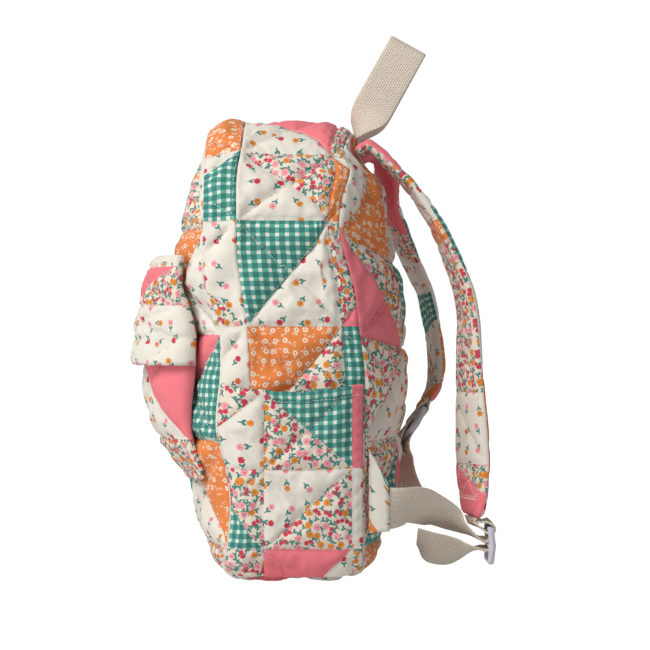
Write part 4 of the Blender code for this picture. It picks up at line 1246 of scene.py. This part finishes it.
def make_strap(name, side):
    """A padded strap: two quilted faces joined at their edges."""
    whole = two_faces([strap_cloth(side, face) for face in (1, -1)], 2.2 * MM, 0.25 * MM, strap_puff)
    made = add(name, whole, cloth_materials())
    return made


def ring_shape(width, thick, corners=5):
    """A ribbon's section as pairs of across and out, closed, with rounded edges."""
    shape = []
    flat = width / 2 - thick / 2
    for k in range(9):
        shape.append((-flat + 2 * flat * k / 8, -thick / 2))
    for k in range(1, corners):
        angle = -math.pi / 2 + math.pi * k / corners
        shape.append((flat + thick / 2 * math.cos(angle), thick / 2 * math.sin(angle)))
    for k in range(9):
        shape.append((flat - 2 * flat * k / 8, thick / 2))
    for k in range(1, corners):
        angle = math.pi / 2 + math.pi * k / corners
        shape.append((-flat + thick / 2 * math.cos(angle), thick / 2 * math.sin(angle)))
    return shape


def ribbon(name, stations, width, thick, material, blunt=0):
    """A closed ribbon through stations of a middle and an across direction. Its last stations may be
    cut along their across direction, as a folded end looks."""
    middles = [Vector(m) for m, _ in stations]
    ways = tangents([tuple(m) for m in middles])
    shape = ring_shape(width, thick)
    lengths = [0.0]
    for a, b in zip(middles, middles[1:]):
        lengths.append(lengths[-1] + (b - a).length)
    bm = bmesh.new()
    bmesh.ops.create_grid(bm, x_segments=len(shape), y_segments=len(stations) - 1, size=0.5)
    layer = bm.loops.layers.uv.new("cloth")
    spots = {}
    for v in bm.verts:
        spots[v] = (round((v.co.x + 0.5) * len(shape)), round((v.co.y + 0.5) * (len(stations) - 1)))
    for f in bm.faces:
        f.smooth = True
        for loop in f.loops:
            i, j = spots[loop.vert]
            loop[layer].uv = (shape[i % len(shape)][0], lengths[j])
    for v, (i, j) in spots.items():
        across = stations[j][1]
        along = ways[j]
        square = min((len(stations) - 1 - j) / blunt, 1) if blunt else 1
        across = (across - along * (across.dot(along) * square)).normalized()
        a, h = shape[i % len(shape)]
        v.co = middles[j] + across * a + along.cross(across) * h
    bmesh.ops.remove_doubles(bm, verts=bm.verts, dist=0.01 * MM)
    bmesh.ops.holes_fill(bm, edges=[e for e in bm.edges if e.is_boundary], sides=0)
    bmesh.ops.recalc_face_normals(bm, faces=bm.faces)
    made = add(name, bm, [material])
    made.data.set_sharp_from_angle(angle=math.radians(70))
    return made


def slider_frame(centre, up, level):
    """A slider's place: its bars along a level direction and its top pointing up the strap."""
    y_axis = up.cross(level).normalized()
    x_axis = y_axis.cross(up)
    turn = Matrix((x_axis, y_axis, up)).transposed().to_4x4()
    return Matrix.Translation(centre) @ turn


def strap_tip(side):
    frames = strap_frames(side)
    way = (frames[-1][0] - frames[-2][0]).normalized()
    return frames[-1][0], way, frames[-1][1]


def slider_place(side):
    if side > 0:
        return slider_frame(RIGHT_SLIDER, Vector((0, 0, 1)), Vector((1, 0, 0)))
    middle, way, level = strap_tip(side)
    return slider_frame(middle + way * LEFT_SLIDER_DROP, -way, level)


def turn_round_bar(place, bar_z, legs, steps=12):
    """Half a turn of webbing round a bar."""
    radius = BAR * BAR_CORNER + BAR_CLEARANCE + WEB_THICKNESS / 2
    points = []
    for k in range(steps + 1):
        angle = legs + math.pi * 1.5 - math.pi * k / steps
        points.append(place @ Vector((0, radius * math.cos(angle), bar_z + radius * math.sin(angle))))
    return points


def make_loop(side, material):
    """Short webbing from the strap's end round the slider's top bar and back."""
    place = slider_place(side)
    strap_end, strap_way, across = strap_tip(side)
    bar_z = SLIDER_HEIGHT / 2 - BAR / 2
    bar = place @ Vector((0, 0, bar_z))
    local = place.inverted() @ strap_end - Vector((0, 0, bar_z))
    arc = turn_round_bar(place, bar_z, math.atan2(local.z, local.y), 10)
    apart = WEB_THICKNESS * LOOP_APART
    leave = strap_end + strap_way * GAP
    out = across.cross(strap_way).normalized()
    if out.dot(arc[0] - bar) < 0:
        out = -out
    x_axis = place.to_3x3() @ Vector((1, 0, 0))
    back_way = (leave - bar).normalized()
    reach = (bar - leave).length * LOOP_LEAD
    route = [leave + out * apart, leave + out * apart + strap_way * reach, arc[0] + back_way * reach]
    route += arc
    route += [arc[-1] + back_way * reach, leave - out * apart + strap_way * reach, leave - out * apart]
    stations = []
    for i, here in enumerate(route):
        share = min(min(i, len(route) - 1 - i) / 3, 1)
        stations.append((here, across.lerp(x_axis, share).normalized()))
    word = WORDS[side]
    made = ribbon(f"strap_loop_webbing_{word}", stations, WEB_WIDTH, WEB_THICKNESS, material)
    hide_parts(f"strap_loop_{word}")
    return made


def make_webbing(side, material):
    """Webbing from the tab, over and round the slider's middle bar, and its free tail."""
    place = slider_place(side)
    tip_z = (TAB_LOW + TAB_HIGH) / 2 - TAB_WEB_DROP
    x = side * (HALF - SEAM_PINCH - TAB_THICKNESS / 2)
    start = Vector((x, TAB_STARTS[side] + TAB_REACH - TAB_LAP, tip_z))
    legs = math.pi if side > 0 else -math.pi / 2
    arc = turn_round_bar(place, 0, legs, 6)
    leg_way = place.to_3x3() @ Vector((0, math.cos(legs), math.sin(legs)))
    leg = leg_way * (LEG if side > 0 else SLIDER_HEIGHT / 2 + LEG / 2)
    arrive = arc[0] + leg
    leave = arc[-1] + leg
    x_axis = place.to_3x3() @ Vector((1, 0, 0))
    before = []
    for row in RUNS[side]:
        spot = [start[k] + (arrive[k] - start[k]) * row[k] for k in range(3)]
        before.append((*spot, row.turn))
    before += [(*arrive, 90), (*arc[0], 90)]
    after = [(*arc[-1], 90), (*leave, 90)]
    for row in TAILS[side]:
        spot = [leave[k] + TAIL_LENGTH * row[k] * (side if k == 0 else 1) for k in range(3)]
        after.append((*spot, row.turn))
    middle = [(*p, 90) for p in arc[1:-1]]
    points = curve_points(before, 2.5 * MM) + middle + curve_points(after, 2.5 * MM)
    stations = []
    for here in points:
        turn = math.radians(here[3])
        wide = Vector((0, 0, 1)) * math.cos(turn) + x_axis * side * math.sin(turn)
        stations.append((Vector(here[:3]), wide))
    word = WORDS[side]
    blunt = BLUNT_STEPS if side > 0 else 0
    made = ribbon(f"lower_webbing_{word}", stations, WEB_WIDTH, WEB_THICKNESS, material, blunt)
    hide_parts(f"webbing_{word}")
    return made


def make_handle(material):
    """The twisted webbing loop at the top."""
    lean = math.radians(HANDLE_LEAN)
    up = Vector((0, math.sin(lean), math.cos(lean)))
    level = Vector((0, math.cos(lean), -math.sin(lean)))
    leg = []
    for row in HANDLE_LEG:
        spot = HANDLE_FOOT + up * (HANDLE_RISE - HANDLE_BEND) * row.rise
        leg.append((spot.x + row.spread * HANDLE_SPACING / 2, spot.y, spot.z, row.turn))
    fine = curve_points(leg, 3 * MM)
    right = [(Vector(p[:3]), math.radians(p[3])) for p in fine]
    bend = []
    top = right[-1][0]
    for k in range(1, 10):
        angle = math.pi * k / 10
        spot = HANDLE_FOOT + up * (HANDLE_RISE - HANDLE_BEND + HANDLE_BEND * math.sin(angle))
        spot.x = top.x * math.cos(angle)
        bend.append((spot, math.pi / 2))
    stations = []
    for spot, turn in right + bend:
        stations.append((spot, Vector((1, 0, 0)) * math.cos(turn) + level * math.sin(turn)))
    for spot, turn in reversed(right):
        across = Vector((-1, 0, 0)) * math.cos(turn) + level * math.sin(turn)
        stations.append((Vector((-spot.x, spot.y, spot.z)), across))
    made = ribbon("top_handle_webbing", stations, WEB_WIDTH, WEB_THICKNESS, material)
    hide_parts("top_handle")
    return made


def make_slider(side, material):
    """A ladder slider: a plate with two slots between three bars, well rounded."""
    inner = WEB_WIDTH / 2 + SLIDER_CLEARANCE
    xs = [-inner - SLIDER_SIDE, -inner, inner, inner + SLIDER_SIDE]
    half = SLIDER_HEIGHT / 2
    zs = [-half, -half + BAR, -BAR / 2, BAR / 2, half - BAR, half]
    bm = bmesh.new()
    bmesh.ops.create_grid(bm, x_segments=len(xs) - 1, y_segments=len(zs) - 1, size=0.5)
    for v in bm.verts:
        i = round((v.co.x + 0.5) * (len(xs) - 1))
        j = round((v.co.y + 0.5) * (len(zs) - 1))
        bow = SLIDER_BOW * (1 - (zs[j] / half) ** 2) if i in (0, len(xs) - 1) else 0
        v.co = Vector((xs[i], bow, zs[j]))
    slots = []
    for f in bm.faces:
        middle = f.calc_center_median()
        if abs(middle.x) < inner and BAR / 2 < abs(middle.z) < half - BAR:
            slots.append(f)
    bmesh.ops.delete(bm, geom=slots, context="FACES")
    corners = [v for v in bm.verts if abs(v.co.x) > inner + 0.1 * MM and abs(v.co.z) > half - 0.1 * MM]
    for v in corners:
        v.co.x *= 0.93
        v.co.z *= 0.97
    bmesh.ops.transform(bm, matrix=slider_place(side), verts=bm.verts)
    word = WORDS[side]
    made = add(f"ladder_slider_{word}", bm, [material])
    thick = made.modifiers.new("plate", "SOLIDIFY")
    thick.thickness = SLIDER_PLATE
    thick.offset = 0
    bevel = made.modifiers.new("round", "BEVEL")
    bevel.width = BAR * 0.42
    bevel.segments = 4
    bevel.limit_method = "ANGLE"
    made.data.shade_smooth()
    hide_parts(f"slider_{word}")
    return made


def tab_cloth(side, face):
    """One face of the triangular tab that holds the lower webbing."""
    tip_z = (TAB_LOW + TAB_HIGH) / 2 - TAB_WEB_DROP
    x = side * (HALF - SEAM_PINCH - TAB_THICKNESS / 2)

    def place(a, b, out):
        share = np.clip(a / TAB_REACH, 0, 1)
        low = TAB_LOW * (1 - share) + (tip_z - WEB_WIDTH / 2 - TAB_HEM) * share
        high = TAB_HIGH * (1 - share) + (tip_z + WEB_WIDTH / 2 + TAB_HEM) * share
        t = (b - TAB_LOW) / (TAB_HIGH - TAB_LOW)
        z = low + (high - low) * t
        rim = np.minimum(np.minimum(t, 1 - t) * (high - low), TAB_REACH - a)
        half = TAB_THICKNESS / 2 * (1 + 0.5 * np.sin(math.pi * share)) + out
        half = half * np.sqrt(1 - (1 - np.clip(rim / TAB_ROUND, 0, 1)) ** 2)
        y = TAB_STARTS[side] + TAB_REACH * share
        return np.stack([x + side * face * half, y, z], axis=-1)

    rows = [20 * MM, TAB_LOW + 14 * MM, TAB_HIGH - 14 * MM, TAB_HIGH + 14 * MM]
    columns = [-1 * MM, TAB_REACH + 1 * MM]
    return Cloth("tab", place, 0.0, TAB_REACH, TAB_LOW, TAB_HIGH, columns, rows, chart(r"G\C; C; C\O"))


def tab_puff(cloth, a, b):
    return 0.25 * MM * uneven(a * 3, b * 3)


def make_tab(side):
    whole = two_faces([tab_cloth(side, face) for face in (1, -1)], 1.6 * MM, 0.1 * MM, tab_puff)
    word = WORDS[side]
    made = add(f"webbing_tab_{word}", whole, cloth_materials())
    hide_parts(f"strap_tab_{word}")
    return made


def stitch_row(place, start, end, inside, pitch=STITCH_PITCH, length=STITCH_LENGTH):
    """Three points for each running stitch of one sewn line."""
    start = np.array(start, float)
    end = np.array(end, float)
    total = np.linalg.norm(end - start)
    count = max(int(total / pitch), 1)
    way = (end - start) / total
    middles = start + (np.arange(count)[:, None] + 0.5) * (total / count) * way
    middles = middles[inside(middles[:, 0], middles[:, 1])]
    if not len(middles):
        return []
    tips = []
    for shift in (-length / 2, 0, length / 2):
        at = middles + shift * way
        tips.append(place(at[:, 0], at[:, 1], np.full(len(at), -0.5 * QUILT_RELIEF)))
    return list(zip(*tips))


def quilting_stitches(cloth, inside):
    rows = []
    for i in range(len(cloth.columns) - 1):
        for j in range(len(cloth.rows) - 1):
            a0, a1 = cloth.columns[i], cloth.columns[i + 1]
            b0, b1 = cloth.rows[j], cloth.rows[j + 1]
            rows += stitch_row(cloth.place, (a0, b0), (a1, b1), inside)
            rows += stitch_row(cloth.place, (a0, b1), (a1, b0), inside)
    return rows


def anywhere(a, b):
    return a == a


def strap_box(side):
    """The box, cross and bar sewn at the end of a strap's inner face."""
    cloth = strap_cloth(side, 1)
    left, right = -BOX_HALF, BOX_HALF
    low, high = cloth.high - BOX_LOW, cloth.high - BOX_HIGH
    corners = [(left, low), (right, low), (right, high), (left, high), (left, low), (right, high)]
    lines = list(zip(corners, corners[1:])) + [((left, high), (right, low))]
    rows = []
    for start, end in lines:
        rows += stitch_row(cloth.place, start, end, anywhere, BOX_PITCH, BOX_STITCH)
    for level in (high + 0.9 * MM, high + 1.6 * MM):
        rows += stitch_row(cloth.place, (left, level), (right, level), anywhere, TACK_PITCH, TACK_STITCH)
    return rows


def onto(made, rows, side=1):
    """Sets stitches on a laid cloth, their middles just above it and their ends in it."""
    bm = bmesh.new()
    bm.from_mesh(made.data)
    tree = BVHTree.FromBMesh(bm)
    bm.free()
    laid = []
    for row in rows:
        points = []
        for lift, (x, y, z) in zip((-0.12 * MM, 0.3 * MM, -0.12 * MM), row):
            spot, normal, _, _ = tree.find_nearest(Vector((side * x, y, z)))
            points.append(spot + normal * lift)
        laid.append(points)
    return laid


def make_stitches(name, rows, colour):
    """Threads as one mesh, each stitch a short bent rod."""
    curve = bpy.data.curves.new(name, "CURVE")
    curve.dimensions = "3D"
    curve.bevel_depth = THREAD
    curve.bevel_resolution = 0
    curve.use_fill_caps = True
    for points in rows:
        spline = curve.splines.new("POLY")
        spline.points.add(len(points) - 1)
        for k, p in enumerate(points):
            spline.points[k].co = (*p, 1)
    holder = new_object(name, curve)
    evaluated = holder.evaluated_get(bpy.context.evaluated_depsgraph_get())
    mesh = bpy.data.meshes.new_from_object(evaluated)
    bpy.data.objects.remove(holder)
    made = new_object(name, mesh)
    mesh.materials.clear()
    mesh.materials.append(colour)
    mesh.shade_smooth()
    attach(made, "root")
    return made


class BACKPACK_OT_bag(bpy.types.Operator):
    """Lays and stuffs the panels and the strip round the bag"""

    bl_idname = "backpack.bag"
    bl_label = "Quilt the bag"

    def execute(self, context):
        settings = context.scene.backpack_cloth
        front = lay(FRONT_PANEL, panel_mould)
        back = lay(BACK_PANEL, panel_mould, flip=True)
        strip = lay(FRONT_STRIP, mirror=True)
        side = lay(SIDE_STRIP, mirror=True)
        for made in (front, back, strip, side):
            wall(made, settings.wall)
        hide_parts("front_shell")
        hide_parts("rear_shell")
        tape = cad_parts["zip_tape"]
        beige = linear(186, 170, 146)
        tape.material_slots[0].material = fuzzy("zip_cloth", beige, 1400, 0.4, 0.7, 0.75)
        return {"FINISHED"}


class BACKPACK_OT_pockets(bpy.types.Operator):
    """Lays and stuffs the front pocket, its flap and both side pockets"""

    bl_idname = "backpack.pockets"
    bl_label = "Quilt the pockets"

    def execute(self, context):
        pouch = lay(POUCH, quilt=POCKET_RELIEF)
        wall(pouch, POCKET_WALL)
        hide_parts("front_pocket")
        flap = lay(FLAP, quilt=POCKET_RELIEF)
        wall(flap, FLAP_WALL)
        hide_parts("pocket_flap")
        for word, side in SIDES.items():
            made = lay(SIDE_POCKET, quilt=POCKET_RELIEF)
            made.name = f"side_pocket_quilt_{word}"
            if side < 0:
                places = coordinates(made.data)
                move_to(made.data, places * np.array([-1, 1, 1]))
                made.data.flip_normals()
            wall(made, SIDE_POCKET_WALL)
            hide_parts(f"side_pocket_{word}")
        return {"FINISHED"}


class BACKPACK_OT_straps(bpy.types.Operator):
    """Makes the padded shoulder straps and the tabs at the bottom"""

    bl_idname = "backpack.straps"
    bl_label = "Make the straps"

    def execute(self, context):
        for word, side in SIDES.items():
            made = make_strap(f"padded_strap_{word}", side)
            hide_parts(f"shoulder_strap_{word}")
            make_tab(side)
        return {"FINISHED"}


class BACKPACK_OT_webbing(bpy.types.Operator):
    """Makes the handle, the lower webbing and the strap loops"""

    bl_idname = "backpack.webbing"
    bl_label = "Make the webbing"

    def execute(self, context):
        material = one_material("woven_webbing", woven_webbing)
        pieces = [make_handle(material)]
        for side in SIDES.values():
            pieces.append(make_webbing(side, material))
            pieces.append(make_loop(side, material))
        return {"FINISHED"}


class BACKPACK_OT_sliders(bpy.types.Operator):
    """Makes both ladder sliders"""

    bl_idname = "backpack.sliders"
    bl_label = "Make the sliders"

    def execute(self, context):
        material = one_material("cloudy_plastic", slider_plastic)
        for side in SIDES.values():
            make_slider(side, material)
        return {"FINISHED"}


class BACKPACK_OT_stitching(bpy.types.Operator):
    """Sews the running stitches along the quilting lines"""

    bl_idname = "backpack.stitching"
    bl_label = "Sew the quilting"

    def execute(self, context):
        def in_panel(x, z):
            return rim_distance(x, z) > 7 * MM

        def in_cloth(cloth):
            return lambda a, b: edge_distance(cloth, a, b) > 4 * MM

        rows = []
        for cloth, names, inside in (
            (FRONT_PANEL, ["front_panel_quilt"], in_panel),
            (BACK_PANEL, ["back_panel_quilt"], in_panel),
            (POUCH, ["front_pocket_pouch"], None),
            (FLAP, ["pocket_flap_quilt"], None),
            (FRONT_STRIP, ["front_strip_quilt", "front_strip_quilt"], None),
            (SIDE_STRIP, ["side_strip_quilt", "side_strip_quilt"], None),
            (SIDE_POCKET, ["side_pocket_quilt_right", "side_pocket_quilt_left"], None),
        ):
            lines = quilting_stitches(cloth, inside or in_cloth(cloth))
            if cloth is SIDE_STRIP or cloth is FRONT_STRIP:
                edge = ZIP_STITCH if cloth is SIDE_STRIP else -ZIP_STITCH
                lines += stitch_row(cloth.place, (edge, 30 * MM), (edge, RING_HIGH - 2 * MM), anywhere)
            if cloth is SIDE_POCKET:
                level = SIDE_POCKET_TOP - HEM
                lines += stitch_row(cloth.place, (cloth.left, level), (cloth.right, level), in_cloth(cloth))
            for name, side in zip(names, (1, -1)):
                rows += onto(bpy.data.objects[name], lines, side)
        for word, side in SIDES.items():
            rows += onto(bpy.data.objects[f"padded_strap_{word}"], strap_box(side))
        white = fuzzy("white_thread", linear(246, 242, 232), 2500, 0.3, 0.8, 0.7)
        make_stitches("quilting_thread", rows, white)
        return {"FINISHED"}


class BACKPACK_OT_stage(bpy.types.Operator):
    """Sets the camera, the soft light and the pale floor"""

    bl_idname = "backpack.stage"
    bl_label = "Set the stage"

    def execute(self, context):
        settings = context.scene.backpack_stage
        camera = bpy.data.cameras.new("camera")
        camera.angle = settings.view
        camera.clip_start = 0.05
        holder = new_object("camera", camera)
        holder.location = (settings.distance, settings.aside, settings.height)
        holder.rotation_euler = (math.pi / 2, 0, math.pi / 2)
        context.scene.camera = holder
        self.add_lamp("key", settings.key, 1.1, (1.25, -0.95, 1.6), (1, 0.985, 0.96))
        self.add_lamp("front", settings.key * 0.24, 1.4, (0.9, -1.5, 0.3), (1, 0.99, 0.97))
        self.add_floor()
        context.scene.world = self.white_world(settings.fill)
        context.scene.view_settings.view_transform = "Standard"
        return {"FINISHED"}

    def white_world(self, fill):
        """A world that looks white and lights the scene by a share only."""
        world = bpy.data.worlds.new("studio")
        world.use_nodes = True
        tree = world.node_tree
        background = tree.nodes["Background"]
        background.inputs[0].default_value = (1, 1, 1, 1)
        seen = tree.nodes.new("ShaderNodeLightPath")
        strength = tree.nodes.new("ShaderNodeMath")
        strength.operation = "MULTIPLY_ADD"
        strength.inputs[1].default_value = WHITE - fill
        strength.inputs[2].default_value = fill
        tree.links.new(seen.outputs["Is Camera Ray"], strength.inputs[0])
        tree.links.new(strength.outputs[0], background.inputs[1])
        return world

    def add_lamp(self, name, power, size, place, colour):
        lamp = bpy.data.lights.new(name, "AREA")
        lamp.energy = power
        lamp.size = size
        lamp.color = colour
        holder = new_object(name, lamp)
        holder.location = place
        target = Vector((0, 0, 0.15))
        holder.rotation_euler = (target - Vector(place)).to_track_quat("-Z", "Y").to_euler()

    def add_floor(self):
        bm = bmesh.new()
        bmesh.ops.create_grid(bm, x_segments=1, y_segments=1, size=30)
        mesh = bpy.data.meshes.new("floor")
        bm.to_mesh(mesh)
        bm.free()
        floor = new_object("floor", mesh)
        paper = Paper("pale_floor")
        grain = paper.noise(paper.object_place(), 40, 2)
        tone = paper.mix(grain * 0.1, (0.55, 0.55, 0.55), (0.52, 0.52, 0.52))
        seen = Value(paper, paper.node("LightPath").outputs["Is Camera Ray"])
        glow = seen * 0.75 + 0.2
        paper.finish(Base_Color=tone, Roughness=0.9, Emission_Color=(1, 1, 1), Emission_Strength=glow)
        mesh.materials.append(paper.material)


class BACKPACK_PT_panel(bpy.types.Panel):
    """Lists the backpack's settings and steps"""

    bl_idname = "BACKPACK_PT_panel"
    bl_label = "Backpack"
    bl_space_type = "VIEW_3D"
    bl_region_type = "UI"
    bl_category = "Backpack"

    def draw(self, context):
        layout = self.layout
        for group in ("backpack_cloth", "backpack_colours", "backpack_stage"):
            settings = getattr(context.scene, group)
            box = layout.box()
            for name in settings.bl_rna.properties.keys():
                if name not in ("rna_type", "name"):
                    box.prop(settings, name)
        for operator in OPERATORS:
            layout.operator(operator.bl_idname)


GROUPS = {
    "backpack_cloth": BackpackCloth,
    "backpack_colours": BackpackColours,
    "backpack_stage": BackpackStage,
}
OPERATORS = (
    BACKPACK_OT_stage,
    BACKPACK_OT_bag,
    BACKPACK_OT_pockets,
    BACKPACK_OT_straps,
    BACKPACK_OT_webbing,
    BACKPACK_OT_sliders,
    BACKPACK_OT_stitching,
)
CLASSES = (*GROUPS.values(), *OPERATORS, BACKPACK_PT_panel)


def register():
    for each in CLASSES:
        bpy.utils.register_class(each)
    for name, group in GROUPS.items():
        setattr(bpy.types.Scene, name, PointerProperty(type=group))


def unregister():
    for name in GROUPS:
        delattr(bpy.types.Scene, name)
    for each in reversed(CLASSES):
        bpy.utils.unregister_class(each)


def main():
    register()
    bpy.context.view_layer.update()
    bpy.ops.backpack.stage()
    bpy.ops.backpack.bag()
    bpy.ops.backpack.pockets()
    bpy.ops.backpack.straps()
    bpy.ops.backpack.webbing()
    bpy.ops.backpack.sliders()
    bpy.ops.backpack.stitching()


if __name__ == "__main__":
    main()
